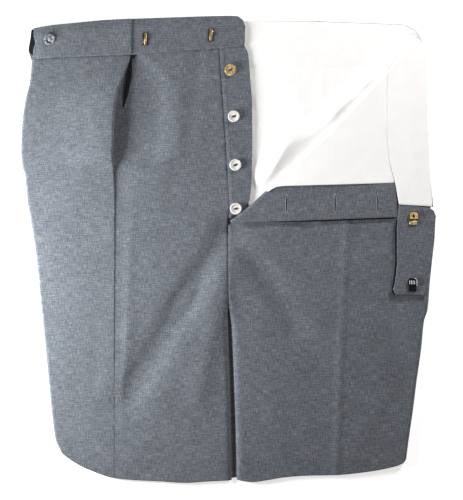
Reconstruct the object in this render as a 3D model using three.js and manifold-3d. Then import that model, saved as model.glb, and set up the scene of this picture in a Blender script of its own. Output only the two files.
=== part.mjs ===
import * as THREE from "three";
import { mergeVertices } from "three/addons/utils/BufferGeometryUtils.js";
import Module from "manifold-3d";

const wasm = await Module();
wasm.setup();

// Wide grey wool shorts laid flat on their back, front upwards, in millimetres.
// x runs from the wearer's right side (-) to the left side (+), with 0 at the centre front.
// y runs from the hems (0) up to the waist, and z is the height above the surface.

// Cloth and how its layers lie on each other
const CLOTH = 1.0;
const BACK_WALL = 1.2;
const BAND_WALL = 1.6;
const SEAM = 0.3;
const HEM_EXTRA = 0.9;
const HEM_DEPTH = 40;
const FRONT_MID = 5.4;
const EDGE_MID = 1.75;
const SIDE_ROLL = 12;
const INSEAM_ROLL = 7;
const SEAM_ROLL = 3;
const SEAM_DIP = 0.6;
const LINING_MID = BACK_WALL + SEAM + CLOTH / 2;
const CURTAIN_MID = LINING_MID + 0.6;
const BAND_MID = 5.6;
const SIDE_BAND_RAISE = 0.9;
const UNDERLAP_EDGE_MID = 4.7;
const UNDERLAP_TUCKED_MID = 2.0;
const CREASE_RISE = 0.6;
const CREASE_HALF = 9;
const HEM_DIP = 0.9;
const HEM_DIP_DEPTH = 30;
const BACK_HEM_INSET = 2.5;
const BAND_TOP_FALL = 1.3;
const BAND_SIDE_FALL = 2.4;
const BAND_SIDE_WIDTH = 12;
const BAND_SIDE_FROM = -222;
const UNDERLAP_INSET = 0.75;

// The turned-over corner: length of the limb under the fold, and how high its layers lie
const FOLD_LIMB = 9;
const TURNED_WALL = 0.9;
const LYING_MID = FRONT_MID + 0.4;
const TURNED_LIFT = CLOTH + 0.4;
const LINING_LIFT = TURNED_LIFT + CLOTH + 0.4;
const LINING_UNDER = CLOTH + 0.6;
const TAB_WALL = 2.2;
const TAB_LIFT = TURNED_LIFT + 1.2;

// Buttons, bars and hooks
const FLY_BUTTON = 14;
const BAND_BUTTON = 13;
const BUTTON_THICK = 2.6;
const BUTTON_HOLE = 1.9;
const BUTTON_HOLE_PITCH = 3.6;
const BAR_LENGTH = 14;
const BAR_WIDTH = 5;
const BAR_FOOT = 3.2;
const BAR_SHEET = 0.9;
const BAR_GAP = 1;
const BAR_TOP = 2;
const HOOK_WIDTH = 11;
const HOOK_SHOULDER = 6;
const HOOK_CORNER = 3.4;
const HOOK_SHEET = 1.5;
const HOOK_BASE = 0.7;
const HOOK_LIP = 1;

const WOOL = 0x69707a;
const WHITE_LINING = 0xf4f3f0;
const HORN = 0xb9a37c;
const PEARL = 0xe6e4de;
const GREY_PEARL = 0x9a9da2;
const BRASS = 0xb08d4a;
const BLACK_NICKEL = 0x2c2d30;

// Tables: each row is read by its first column, and the rest are read smoothly between rows.

// Outline of the wearer's right half (left of the picture) and its edge at the centre
const RIGHT_SIDE = table(["y", "x"], [
  [20, -190], [36, -202], [48, -207.5], [76, -211.5], [116, -215.5], [156, -219.5],
  [196, -223.5], [216, -225.5], [256, -229.5], [300, -235.5], [336, -241.5], [364, -243.8],
  [378, -247.6], [396, -248.8], [424, -247.6], [456, -243.6], [480, -237.8], [508, -235.5],
]);
const RIGHT_CENTRE = table(["y", "x"], [
  [0, 4.5], [60, 3.5], [120, 2], [180, 0.2], [216, -0.3], [309, -0.3], [322, 1.8], [390, -2.4],
  [440, -5.9], [480, -8.8], [518, -11.3],
]);
const RIGHT_HEM = table(["x", "y"], [
  [-203, 36], [-198, 31], [-186, 22], [-166, 12], [-138, 3], [-114, 0.5], [-82, -1.2],
  [-50, -3], [-26, -1.4], [5, 0],
]);
const RIGHT_WAIST = table(["x", "y"], [
  [-236, 505], [-205, 507.5], [-120, 510.5], [-56, 514.5], [-21, 517], [-11, 518],
]);

// Outline of the wearer's left half; above the turned corner its top edge is the fold itself
const LEFT_SIDE = table(["y", "x"], [
  [28, 214.5], [56, 218.4], [84, 222.4], [116, 226.4], [156, 232], [190, 235.5], [204, 239.8],
  [236, 242.4], [272, 246.2], [288, 248], [303, 248.6], [325, 243.5], [426, 237.5], [486, 236],
  [505, 235.5],
]);
const LEFT_CENTRE = table(["y", "x"], [
  [0, 10.5], [60, 9], [120, 7], [180, 4], [216, 0.3], [300, 0.3], [309, 0.4],
]);
const LEFT_HEM = table(["x", "y"], [
  [9, 0.5], [30, -2], [46, 0], [66, 3.4], [94, 5.6], [130, 6.4], [166, 10], [198, 16],
  [210, 20.5], [216, 29],
]);
const LEFT_CREASE = table(["y", "x"], [[0, 130], [150, 135], [300, 142], [500, 150]]);
const CORNER_LINE = table(["y", "x"], [[0, 30], [309, 6.6]]);

// The fold's middle line is the edge that shows, moved in by the outermost layer's radius.
const FOLD_OUTER = (LYING_MID + LINING_LIFT - FRONT_MID + LINING_UNDER + CLOTH) / 2;
const movedIn = ([x, y]) => [x + FOLD_OUTER * Math.SQRT1_2, y - FOLD_OUTER * Math.SQRT1_2];
const FOLD_TIP = [3, 310.5];
const FOLD_POINTS = [FOLD_TIP, [14.5, 319.8], [27, 330], [38, 340.2], [50, 351.5], [72, 373], [96, 394],
  [120, 416], [152.4, 450.4], [188.4, 488], [205, 509.5], [221.5, 532]];
const FOLD_SEEN = table(["x", "y"], FOLD_POINTS);
const FOLD_EDGE = FOLD_POINTS.map(movedIn);
const FOLD_CURVE = new THREE.SplineCurve(FOLD_EDGE.map(([x, y]) => new THREE.Vector2(x, y)));
const LEG_INSIDE_FOLD = 0.7;
const FOLD_LINE = table(["x", "y"], [
  [0, 305.5],
  ...FOLD_EDGE.slice(0, 10).map(([x, y]) => [x + LEG_INSIDE_FOLD, y - LEG_INSIDE_FOLD]),
  [203, 497.5], [206, 499.5], [237, 499.5],
]);

// The front pleat: its fold edge, the far lip of its mouth, how far the cloth goes back under
// itself, how far it turns (180 is folded back flat, 60 a pressed crease) and how high it stands
const PLEAT = table(["y", "fold", "lip", "depth", "turn", "lift", "step", "spread"], [
  [0, -136.8, -130, 1, 40, 0.1, 0.3, 5],
  [64, -136.8, -129, 1, 42, 0.15, 0.35, 5],
  [180, -136.6, -126, 1, 46, 0.2, 0.5, 6],
  [280, -136.2, -122, 1, 56, 0.4, 0.8, 8],
  [340, -136.4, -118, 1, 80, 0.9, 1.5, 10],
  [372, -137.8, -114, 2, 120, 2.0, 3.0, 12],
  [386, -138.1, -90, 3, 150, 4.8, 7.4, 24],
  [400, -137.6, -78, 4, 164, 5.6, 8.6, 32],
  [436, -135.8, -74, 9, 176, 6.2, 9.5, 34],
  [456, -133.6, -74, 12, 178, 6.2, 9.6, 34],
  [470, -130.7, -80, 13, 179, 5.2, 8.6, 30],
  [486, -124.9, -88, 14, 179, 3.6, 7.0, 22],
  [501, -119.4, -100, 15, 179, 1.6, 5.0, 12],
  [511, -116.8, -108, 15, 179, 0.6, 4.0, 6],
]);

// Large soft folds of both legs: each is a ridge (+) or trough (-) along a line
const FOLDS = table(["fromX", "fromY", "toX", "toY", "width", "height"], [
  [-4, 296, -50, 216, 14, -2.0],
  [-50, 216, -122, 96, 17, -2.3],
  [-10, 240, -70, 120, 26, 1.2],
  [-36, 508, -46, 410, 9, -0.8],
  [-90, 470, -96, 380, 14, -0.8],
  [-120, 384, -121, 180, 8, 0.7],
  [-121, 180, -129, 64, 7, 0.7],
  [6, 292, 44, 250, 12, -1.7],
  [44, 250, 78, 192, 15, -1.6],
  [98, 300, 150, 272, 12, -1.0],
  [190, 250, 214, 120, 16, -0.8],
  [30, 180, 60, 60, 20, 0.8],
  [-190, 420, -200, 160, 30, 0.7],
]);

// Gentle folds of the turned corner, which bridges the leg under it
const TURNED_FOLDS = table(["fromX", "fromY", "toX", "toY", "width", "height"], [
  [80, 352, 120, 380, 14, 0.4],
  [120, 410, 180, 400, 10, 0.4],
  [150, 440, 190, 430, 12, 0.3],
  [215, 500, 222, 380, 12, 0.4],
]);

// Wrinkles of the white lining on the back, which rise from the panel under it
const LINING_FOLDS = table(["fromX", "fromY", "toX", "toY", "width", "height"], [
  [24, 486, 34, 452, 7, 0.5],
  [70, 486, 92, 440, 8, 0.4],
  [112, 480, 112, 440, 7, 0.5],
  [150, 492, 120, 500, 6, 0.4],
]);

// The lining also swells along the turned fold: distance along it from its lower end, how high the
// swell is there, and how far its crest lies from the fold
const SWELL_START = [50, 351.5];
const SWELL_RUN_OUT = 26;
const LINING_SWELL = table(["along", "height", "crest"], [
  [-12, 0, 10], [5, 2.4, 10], [30, 4.6, 15], [52, 3.8, 20], [75, 1.6, 13], [100, 1.6, 10],
  [120, 3.4, 12], [140, 2.4, 10], [154, 1.2, 9], [182, 0.4, 8],
]);

// Fly buttons down the underlap, with how far each is turned, and what the waistband carries
const FLY_BUTTONS = table(["x", "y", "turn", "colour"], [
  [2.8, 492, 115, HORN], [6.8, 436.3, 96, PEARL], [8.8, 378, 101, PEARL], [9.4, 325.5, 94, PEARL],
]);
const BAND_BARS = table(["x", "y"], [[-99, 529], [-20.4, 534]]);
const HOOKS = table(["x", "y", "colour"], [[222.5, 312.5, BRASS], [221, 233, BLACK_NICKEL]]);

// Turns rows of numbers into records with the column names.
function table(names, rows) {
  return rows.map((row) => Object.fromEntries(names.map((name, i) => [name, row[i]])));
}

// Reads a column of a table at a place on its first column, by a smooth curve without overshoot.
function read(rows, column, place) {
  const key = Object.keys(rows[0])[0];
  const last = rows.length - 1;
  if (place <= rows[0][key]) return rows[0][column];
  if (place >= rows[last][key]) return rows[last][column];
  const i = rows.findIndex((row) => row[key] > place) - 1;
  const slope = (a, b) => (rows[b][column] - rows[a][column]) / (rows[b][key] - rows[a][key]);
  const here = slope(i, i + 1);
  const ease = (other) => (other * here <= 0 ? 0 : (2 * other * here) / (other + here));
  const start = i > 0 ? ease(slope(i - 1, i)) : here;
  const end = i + 1 < last ? ease(slope(i + 1, i + 2)) : here;
  const span = rows[i + 1][key] - rows[i][key];
  const t = (place - rows[i][key]) / span;
  const keep = 1 + t * t * (2 * t - 3);
  return (
    keep * rows[i][column] + (1 - keep) * rows[i + 1][column] +
    span * t * (1 - t) * (start * (1 - t) - end * t)
  );
}

const mix = (a, b, t) => a + (b - a) * t;
const clamp01 = (t) => Math.min(1, Math.max(0, t));
const smooth = (t) => clamp01(t) ** 2 * (3 - 2 * clamp01(t));
const steps = (count) => Array.from({ length: count + 1 }, (_, i) => i / count);

// Height that a table of folds adds at a place: a bell across each line, fading at its ends.
function foldsAt(rows, x, y) {
  let sum = 0;
  for (const f of rows) {
    const dx = f.toX - f.fromX;
    const dy = f.toY - f.fromY;
    const length = Math.hypot(dx, dy);
    const along = ((x - f.fromX) * dx + (y - f.fromY) * dy) / length;
    const across = ((x - f.fromX) * dy - (y - f.fromY) * dx) / length;
    const past = Math.max(0, -along, along - length);
    sum += f.height * Math.exp(-((across / f.width) ** 2) - (past / (1.6 * f.width)) ** 2);
  }
  return sum;
}

// Middle height of the front cloth, before its edges roll down.
const frontMid = (x, y) =>
  FRONT_MID + foldsAt(FOLDS, x, y) - HEM_DIP * (1 - smooth(y / HEM_DIP_DEPTH));

// Middle height of the wearer's left front, with its pressed crease.
function leftMid(x, y) {
  const crease = Math.abs(x - read(LEFT_CREASE, "x", y));
  return frontMid(x, y) + CREASE_RISE * Math.max(0, 1 - crease / CREASE_HALF);
}

// Middle height of the white lining on the back, which swells beside the turned fold.
function liningMid(x, y) {
  const along = (x - SWELL_START[0] + y - SWELL_START[1]) * Math.SQRT1_2;
  const beside = Math.max(0, (y - read(FOLD_SEEN, "y", x)) * Math.SQRT1_2);
  const crest = read(LINING_SWELL, "crest", along);
  const share = beside < crest ? beside / crest : 1 - smooth((beside - crest) / SWELL_RUN_OUT);
  return LINING_MID + read(LINING_SWELL, "height", along) * share + foldsAt(LINING_FOLDS, x, y);
}

// Middle height that the turned corner's layers are lifted from.
const lyingMid = (x, y) => LYING_MID + foldsAt(TURNED_FOLDS, x, y);

// Closed wall of cloth round a grid of middle points; thickness may change from row to row.
function clothWall(grid, thickness, extraBelow = () => 0) {
  const rows = grid.length;
  const columns = grid[0].length;
  const { clamp } = THREE.MathUtils;
  const at = (r, c) => grid[clamp(r, 0, rows - 1)][clamp(c, 0, columns - 1)];
  const positions = [];
  for (const side of [1, -1]) {
    for (let r = 0; r < rows; r++) {
      for (let c = 0; c < columns; c++) {
        const across = at(r, c + 1).clone().sub(at(r, c - 1));
        const along = at(r + 1, c).clone().sub(at(r - 1, c));
        const normal = across.cross(along).normalize();
        const below = side < 0 ? extraBelow(at(r, c)) : 0;
        positions.push(...at(r, c).clone().addScaledVector(normal, side * thickness / 2 - below));
      }
    }
  }
  const under = rows * columns;
  const faces = [];
  const quad = (a, b, c, d) => faces.push(a, b, c, a, c, d);
  for (let r = 0; r + 1 < rows; r++) {
    for (let c = 0; c + 1 < columns; c++) {
      const a = r * columns + c;
      const d = a + columns;
      quad(a, a + 1, d + 1, d);
      quad(under + d, under + d + 1, under + a + 1, under + a);
    }
  }
  const rim = [];
  for (let c = 0; c < columns - 1; c++) rim.push(c);
  for (let r = 0; r < rows - 1; r++) rim.push(r * columns + columns - 1);
  for (let c = columns - 1; c > 0; c--) rim.push((rows - 1) * columns + c);
  for (let r = rows - 1; r > 0; r--) rim.push(r * columns);
  rim.forEach((a, i) => {
    const b = rim[(i + 1) % rim.length];
    quad(under + a, under + b, b, a);
  });
  const geometry = new THREE.BufferGeometry();
  geometry.setAttribute("position", new THREE.Float32BufferAttribute(positions, 3));
  geometry.setIndex(faces);
  geometry.computeVertexNormals();
  return geometry;
}

// A border: points joined by straight lengths, read from 0 to 1 by the distance along it.
function border(points) {
  const path = new THREE.CurvePath();
  const corners = points.map(([x, y]) => new THREE.Vector2(x, y));
  for (let i = 0; i + 1 < corners.length; i++) {
    path.add(new THREE.LineCurve(corners[i], corners[i + 1]));
  }
  return (t) => path.getPoint(clamp01(t));
}

// Grid of middle points between four borders, with its height worked out from the place.
function patch({ bottom, top, left, right, columns, rows, height }) {
  const [b, t, l, r] = [bottom, top, left, right].map(border);
  const corner = (u, v) => (v ? t(u) : b(u));
  return rows.map((v) =>
    columns.map((u) => {
      const place = (axis) =>
        mix(b(u)[axis], t(u)[axis], v) + mix(l(v)[axis], r(v)[axis], u) -
        mix(mix(corner(0, 0)[axis], corner(1, 0)[axis], u),
          mix(corner(0, 1)[axis], corner(1, 1)[axis], u), v);
      const [x, y] = [place("x"), place("y")];
      return new THREE.Vector3(x, y, height(x, y, u, v));
    }),
  );
}

// A place on a line that runs from hem to top, at the share v of the way up.
function placeOn(line, column, hem, top, v) {
  let y = mix(0, 500, v);
  let x = 0;
  for (let i = 0; i < 8; i++) {
    x = read(line, column, y);
    y = mix(read(hem, "y", x), read(top, "y", x), v);
  }
  return { x, y };
}

// Shares of a quarter turn: how far in from the edge, and how high, a rolled edge is.
const ROLL_STEPS = [0, 0.28, 0.55, 0.8].map((t) => {
  const angle = (t * Math.PI) / 2;
  return { inward: 1 - Math.cos(angle), rise: Math.sin(angle) };
});

// How far the edge at the centre rolls down: fully beside the leg gap, little at the seam.
const centreDrop = (y) => 1 - smooth((y - 180) / 50);

// The pleat's section: turns back under itself by two round bends, then runs to its lip.
function pleatSection(y, midHeight) {
  const row = Object.fromEntries(Object.keys(PLEAT[0]).map((name) => [name, read(PLEAT, name, y)]));
  const turn = THREE.MathUtils.degToRad(row.turn);
  const topZ = midHeight + row.lift;
  const straight = Math.min(row.depth, (0.36 * row.step) / Math.max(0.002, Math.sin(turn)));
  const radius = (row.step - straight * Math.sin(turn)) / (2 * (1 - Math.cos(turn)));
  const points = [];
  const startX = row.fold - radius;
  for (const t of steps(5)) {
    const a = t * turn;
    points.push([startX + radius * Math.sin(a), topZ - radius * (1 - Math.cos(a))]);
  }
  const [bendX, bendZ] = points[points.length - 1];
  const backX = bendX + straight * Math.cos(turn);
  const backZ = bendZ - straight * Math.sin(turn);
  points.push([mix(bendX, backX, 0.5), mix(bendZ, backZ, 0.5)]);
  for (const t of steps(4)) {
    const a = (1 - t) * turn;
    const x = backX + radius * (Math.sin(turn) - Math.sin(a));
    points.push([x, backZ - radius * (Math.cos(a) - Math.cos(turn))]);
  }
  return { row, points, lowZ: topZ - row.step };
}

// Wearer's right front: side roll, hip, pleat, and the flat part up to the fly.
function rightFrontGrid() {
  const shares = [0, 0.012, 0.03, 0.075, 0.15, 0.235, 0.32, 0.4, 0.48, 0.555, 0.61, 0.655, 0.7,
    0.74, 0.78, 0.82, 0.855, 0.885, 0.91, 0.935, 0.96, 0.98, 1];
  return shares.map((v) => {
    const side = placeOn(RIGHT_SIDE, "x", RIGHT_HEM, RIGHT_WAIST, v);
    const fold = placeOn(PLEAT, "fold", RIGHT_HEM, RIGHT_WAIST, v);
    const centre = placeOn(RIGHT_CENTRE, "x", RIGHT_HEM, RIGHT_WAIST, v);
    const put = (x, z) => {
      const y = mix(read(RIGHT_HEM, "y", x), read(RIGHT_WAIST, "y", x), v);
      return new THREE.Vector3(x, y, z(y));
    };
    const points = [];
    for (const roll of ROLL_STEPS) {
      const x = side.x + CLOTH / 2 + SIDE_ROLL * roll.inward;
      points.push(put(x, (y) => mix(EDGE_MID, frontMid(side.x + SIDE_ROLL, y), roll.rise)));
    }
    const section = pleatSection(fold.y, frontMid(fold.x, fold.y));
    const { row } = section;
    const hipFrom = side.x + SIDE_ROLL + 1;
    const hipTo = section.points[0][0];
    const hip = [0, 0.16, 0.36, 0.56, 0.74, 0.88];
    for (const t of hip) {
      const near = row.lift * smooth((t - 0.3) / 0.7);
      points.push(put(mix(hipFrom, hipTo, t), (y) => frontMid(mix(hipFrom, hipTo, t), y) + near));
    }
    for (const [x, z] of section.points) points.push(put(x, () => z));
    const lowX = section.points[section.points.length - 1][0];
    const riseFrom = Math.max(lowX + 1.2, row.lip - row.spread);
    const riseTo = Math.max(row.lip + row.spread, riseFrom + 5);
    points.push(put(mix(lowX, riseFrom, 0.6), () => section.lowZ));
    for (const t of [0.1, 0.36, 0.64, 0.9]) {
      const x = mix(riseFrom, riseTo, t);
      points.push(put(x, (y) => mix(section.lowZ, frontMid(x, y), smooth(t))));
    }
    const drop = centreDrop(centre.y);
    const rollWidth = mix(SEAM_ROLL, INSEAM_ROLL, drop);
    const flatTo = centre.x - CLOTH / 2 - rollWidth - 1;
    for (const t of [0.1, 0.26, 0.42, 0.58, 0.74, 0.88, 1]) {
      const x = mix(riseTo, flatTo, t);
      points.push(put(x, (y) => frontMid(x, y)));
    }
    for (const roll of [...ROLL_STEPS].reverse()) {
      const x = centre.x - CLOTH / 2 - rollWidth * roll.inward;
      const edge = (y) => mix(frontMid(x, y) - SEAM_DIP, EDGE_MID, drop);
      points.push(put(x, (y) => mix(edge(y), frontMid(x, y), roll.rise)));
    }
    return points;
  });
}

// The turned-up hem makes the cloth thicker below, over its depth.
function hemExtra(point) {
  const rolled = point.z < FRONT_MID - 1.6;
  return point.y < HEM_DEPTH && !rolled ? HEM_EXTRA * (1 - smooth((point.y - HEM_DEPTH + 6) / 6)) : 0;
}

// Wearer's left leg front, up to where its top corner turns over.
function leftFrontGrid() {
  const shares = [0, 0.02, 0.06, 0.14, 0.24, 0.34, 0.44, 0.54, 0.64, 0.74, 0.84, 0.93, 1];
  return shares.map((v) => {
    const centre = placeOn(LEFT_CENTRE, "x", LEFT_HEM, FOLD_LINE, v);
    const corner = placeOn(CORNER_LINE, "x", LEFT_HEM, FOLD_LINE, v);
    const crease = placeOn(LEFT_CREASE, "x", LEFT_HEM, FOLD_LINE, v);
    const side = placeOn(LEFT_SIDE, "x", LEFT_HEM, FOLD_LINE, v);
    const put = (x, z) => {
      const y = mix(read(LEFT_HEM, "y", x), read(FOLD_LINE, "y", x), v);
      return new THREE.Vector3(x, y, z(y));
    };
    const drop = centreDrop(centre.y);
    const rollWidth = mix(SEAM_ROLL, INSEAM_ROLL, drop);
    const points = [];
    for (const roll of ROLL_STEPS) {
      const x = centre.x + CLOTH / 2 + rollWidth * roll.inward;
      const edge = (y) => mix(leftMid(x, y) - SEAM_DIP, EDGE_MID, drop);
      points.push(put(x, (y) => mix(edge(y), leftMid(x, y), roll.rise)));
    }
    const inFrom = centre.x + CLOTH / 2 + rollWidth + 1;
    for (const t of [0, 0.6]) {
      const x = mix(inFrom, corner.x, t);
      points.push(put(x, (y) => leftMid(x, y)));
    }
    for (const t of [0, 0.07, 0.16, 0.3, 0.45, 0.62, 0.8, 0.93, 1]) {
      const x = mix(corner.x, crease.x, t);
      points.push(put(x, (y) => leftMid(x, y)));
    }
    const outTo = side.x - CLOTH / 2 - SIDE_ROLL - 1;
    for (const t of [0.1, 0.4, 0.7, 1]) {
      const x = mix(crease.x, outTo, t);
      points.push(put(x, (y) => leftMid(x, y)));
    }
    for (const roll of [...ROLL_STEPS].reverse()) {
      const x = side.x - CLOTH / 2 - SIDE_ROLL * roll.inward;
      points.push(put(x, (y) => mix(EDGE_MID, leftMid(side.x - SIDE_ROLL, y), roll.rise)));
    }
    return points;
  });
}

// Share of the fold's length at a place on it, found by halving.
function foldShare(x) {
  let [low, high] = [0, 1];
  for (let i = 0; i < 30; i++) {
    const middle = (low + high) / 2;
    if (FOLD_CURVE.getPointAt(middle).x < x) low = middle;
    else high = middle;
  }
  return low;
}

// How a layer turns over along the fold: from a limb under the leg's edge, round, and out on top.
// It starts on the fold between two places, and ends on a far edge; sides bend its outer paths.
function turnedGrid({ fromX, toX, ends, sides, columns, under, lift, outSteps }) {
  const [first, last] = [foldShare(fromX), foldShare(toX)];
  const from = (u) => FOLD_CURVE.getPointAt(clamp01(mix(first, last, u)));
  const to = border(ends);
  const [left, right] = (sides ?? []).map(border);
  return columns.map((u) => {
    const start = from(u);
    const end = to(u);
    const along = from(u + 0.02).sub(from(u - 0.02)).normalize();
    const acrossBy = (s) => [start.x + along.y * s, start.y - along.x * s];
    const points = [];
    const put = ([x, y], z) => points.push(new THREE.Vector3(x, y, z));
    const limb = Math.min(FOLD_LIMB, start.distanceTo(end) * 0.6);
    for (const s of [limb, limb * 0.4]) put(acrossBy(s), leftMid(...acrossBy(s)) - under);
    const low = leftMid(start.x, start.y) - under;
    const radius = (lyingMid(start.x, start.y) + lift - low) / 2;
    for (const t of steps(6)) {
      const a = t * Math.PI;
      put(acrossBy(-radius * Math.sin(a)), low + radius * (1 - Math.cos(a)));
    }
    for (const t of outSteps) {
      const straight = start.clone().lerp(end, t);
      const { x, y } = sides ? left(t).lerp(right(t), u) : straight;
      put([x, y], lyingMid(x, y) + lift);
    }
    return points;
  });
}

// Far edges of the turned cloth: where the fly ends and where the waistband starts
const FLY_EDGE = [[22, 311.4], [60, 311.8], [109, 312.5], [160, 314.6], [203.2, 316.2]];
const BAND_SEAM = [[203.4, 360], [202.8, 420], [203.2, 484]];

// Wearer's left front: the leg and the turned corner are one cloth, joined in the fold.
function leftFront() {
  const leg = clothWall(leftFrontGrid(), CLOTH, hemExtra);
  const turned = clothWall(turnedGrid({
    fromX: 0,
    toX: 204.4,
    ends: [...FLY_EDGE, ...BAND_SEAM],
    columns: [0, 0.06, 0.13, 0.2, 0.28, 0.36, 0.44, 0.5, 0.56, 0.65, 0.75, 0.86, 0.95, 1],
    under: 0,
    lift: TURNED_LIFT,
    outSteps: [0.12, 0.3, 0.5, 0.75, 1],
  }), TURNED_WALL);
  return fromSolid(toSolid(leg).add(toSolid(turned)));
}

// White lining of the turned corner, wrapped round the outside of the fold.
function leftLining() {
  return clothWall(turnedGrid({
    fromX: 48.6,
    toX: 190.6,
    ends: [[58, 352.6], [109, 354.1], [160, 355.6], [199.5, 356.8], [193.6, 381], [190.6, 410],
      [190.6, 470]],
    columns: [0, 0.1, 0.22, 0.34, 0.45, 0.56, 0.68, 0.8, 0.92, 1],
    under: LINING_UNDER,
    lift: LINING_LIFT,
    outSteps: [0.14, 0.34, 0.55, 0.78, 1],
  }), CLOTH);
}

// Grey facing of the fly: it wraps the lowest stretch of the fold and runs to the band's tab.
function flyFacing() {
  return clothWall(turnedGrid({
    fromX: 0,
    toX: 47.2,
    ends: [[202.8, 315.8], [201.8, 336], [199.4, 356]],
    columns: [0, 0.3, 0.6, 0.85, 1],
    under: LINING_UNDER,
    lift: LINING_LIFT,
    outSteps: [0.06, 0.16, 0.3, 0.45, 0.6, 0.75, 0.9, 1],
  }), CLOTH);
}

// Grey waistband of the left front, turned over with its cloth, down to its tab.
function leftBand() {
  return clothWall(turnedGrid({
    fromX: 205.4,
    toX: 222.6,
    ends: [[204.6, 330.2], [246, 328]],
    sides: [
      [[205.4, 508], [203.8, 484], [203.4, 420], [204, 360], [204.6, 330.2]],
      [[222.6, 531], [236.4, 521], [238.2, 486], [239.2, 426], [242.6, 360], [246, 328]],
    ],
    columns: [0, 0.12, 0.5, 0.88, 1],
    under: 0,
    lift: TURNED_LIFT,
    outSteps: [0.07, 0.14, 0.3, 0.5, 0.7, 0.9, 1],
  }), CLOTH);
}

// White curtain on the inside of the left waistband.
function leftBandLining() {
  return clothWall(turnedGrid({
    fromX: 191.3,
    toX: 223,
    ends: [[204.8, 331], [244.8, 328.6]],
    sides: [
      [[191.3, 489], [191.2, 460], [191.3, 410], [194.4, 381], [201, 356], [205.2, 331]],
      [[223, 531], [236.2, 521.4], [238, 486], [239, 426], [242.4, 360], [244.8, 328.6]],
    ],
    columns: [0, 0.08, 0.3, 0.6, 0.9, 1],
    under: LINING_UNDER,
    lift: LINING_LIFT,
    outSteps: [0.07, 0.14, 0.26, 0.42, 0.58, 0.74, 0.87, 1],
  }), CLOTH);
}

// The band's grey tab, longer than the fly, with two layers sewn and turned out.
function bandTab() {
  return clothWall(patch({
    bottom: [[198.6, 229], [199.6, 225.4], [202.4, 223.2], [238, 222.4]],
    top: [[205, 329.4], [225, 327.4], [241, 325.8], [246.6, 322.6], [248.8, 316.6]],
    left: [[198.6, 229], [200.4, 236], [203.2, 258], [203.2, 300], [205, 329.4]],
    right: [[238, 222.4], [240.5, 240], [242.4, 260], [246.8, 290], [248.8, 316.6]],
    columns: [0, 0.05, 0.12, 0.35, 0.6, 0.8, 0.9, 1],
    rows: [0, 0.05, 0.2, 0.4, 0.6, 0.8, 0.94, 1],
    height: (x, y) => lyingMid(x, y) + TAB_LIFT,
  }), TAB_WALL);
}

// Flat back panel of one half, the size of the front over it.
function backPanel({ side, centre, hem, waist, inset }) {
  const shares = [0, 0.03, 0.08, 0.16, 0.26, 0.36, 0.42, 0.48, 0.56, 0.64, 0.7, 0.76, 0.84, 0.92, 1];
  return clothWall(shares.map((v) => {
    const outer = placeOn(side, "x", hem, waist, v);
    const inner = placeOn(centre, "x", hem, waist, v);
    return [0, 0.05, 0.16, 0.36, 0.6, 0.86, 1].map((u) => {
      const x = mix(outer.x, inner.x, u);
      const y = mix(read(hem, "y", x) + inset, read(waist, "y", x) - SEAM, v);
      return new THREE.Vector3(x, y, BACK_WALL / 2);
    });
  }), BACK_WALL);
}

// The two halves of the back meet at the centre and, in the gap between the legs, at the inseams.
const BACK_CENTRE_RIGHT = table(["y", "x"], [
  [0, 7.3], [60, 6.1], [120, 4.3], [180, 1.9], [216, -0.2], [520, -0.2],
]);
const BACK_CENTRE_LEFT = table(["y", "x"], [
  [0, 7.7], [60, 6.5], [120, 4.7], [180, 2.3], [216, 0.2], [520, 0.2],
]);
const BACK_WAIST = table(["x", "y"], [[-236, 504], [-120, 506], [0, 507], [120, 506], [237, 503.5]]);

// Grey waistband across the back, lying on the surface.
function backBand() {
  return clothWall(patch({
    bottom: [[-236, 504.3], [-120, 506.3], [0, 507.3], [120, 506.3], [236, 503.8]],
    top: [[-236.4, 540], [-210, 543], [-116, 549], [0, 551.6], [108, 550.8], [212, 547], [227, 539],
      [235, 524]],
    left: [[-236, 504.3], [-240, 516], [-237.6, 530], [-236.4, 540]],
    right: [[236, 503.8], [235, 524]],
    columns: [0, 0.03, 0.12, 0.3, 0.5, 0.7, 0.86, 0.92, 0.95, 0.97, 1],
    rows: steps(3),
    height: () => BACK_WALL / 2,
  }), BACK_WALL);
}

// White lining of the back, where the open fly shows it.
function backLining() {
  return clothWall(patch({
    bottom: [[25, 329], [44, 343], [78, 371], [126, 411], [160, 449], [205, 488]],
    top: [[13, 497.4], [110, 497.4], [205, 497.4]],
    left: [[25, 329], [17, 400], [13, 497.4]],
    right: [[205, 488], [205, 497.4]],
    columns: steps(26),
    rows: [0, 0.03, 0.06, 0.09, 0.12, 0.16, 0.2, 0.25, 0.31, 0.38, 0.46, 0.55, 0.66, 0.78, 0.9, 1],
    height: liningMid,
  }), CLOTH);
}

// White curtain along the inside of the back waistband.
function backBandLining() {
  return clothWall(patch({
    bottom: [[13, 497.8], [110, 497.8], [232, 501]],
    top: [[14, 551.2], [108, 550], [211, 546.2], [226, 538], [234, 524]],
    left: [[13, 497.8], [14, 551.2]],
    right: [[232, 501], [234, 524]],
    columns: [0, 0.08, 0.2, 0.34, 0.48, 0.62, 0.76, 0.88, 0.92, 0.96, 1],
    rows: steps(4),
    height: (x, y) => CURTAIN_MID + 0.35 * foldsAt(LINING_FOLDS, x, y),
  }), CLOTH);
}

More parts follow.
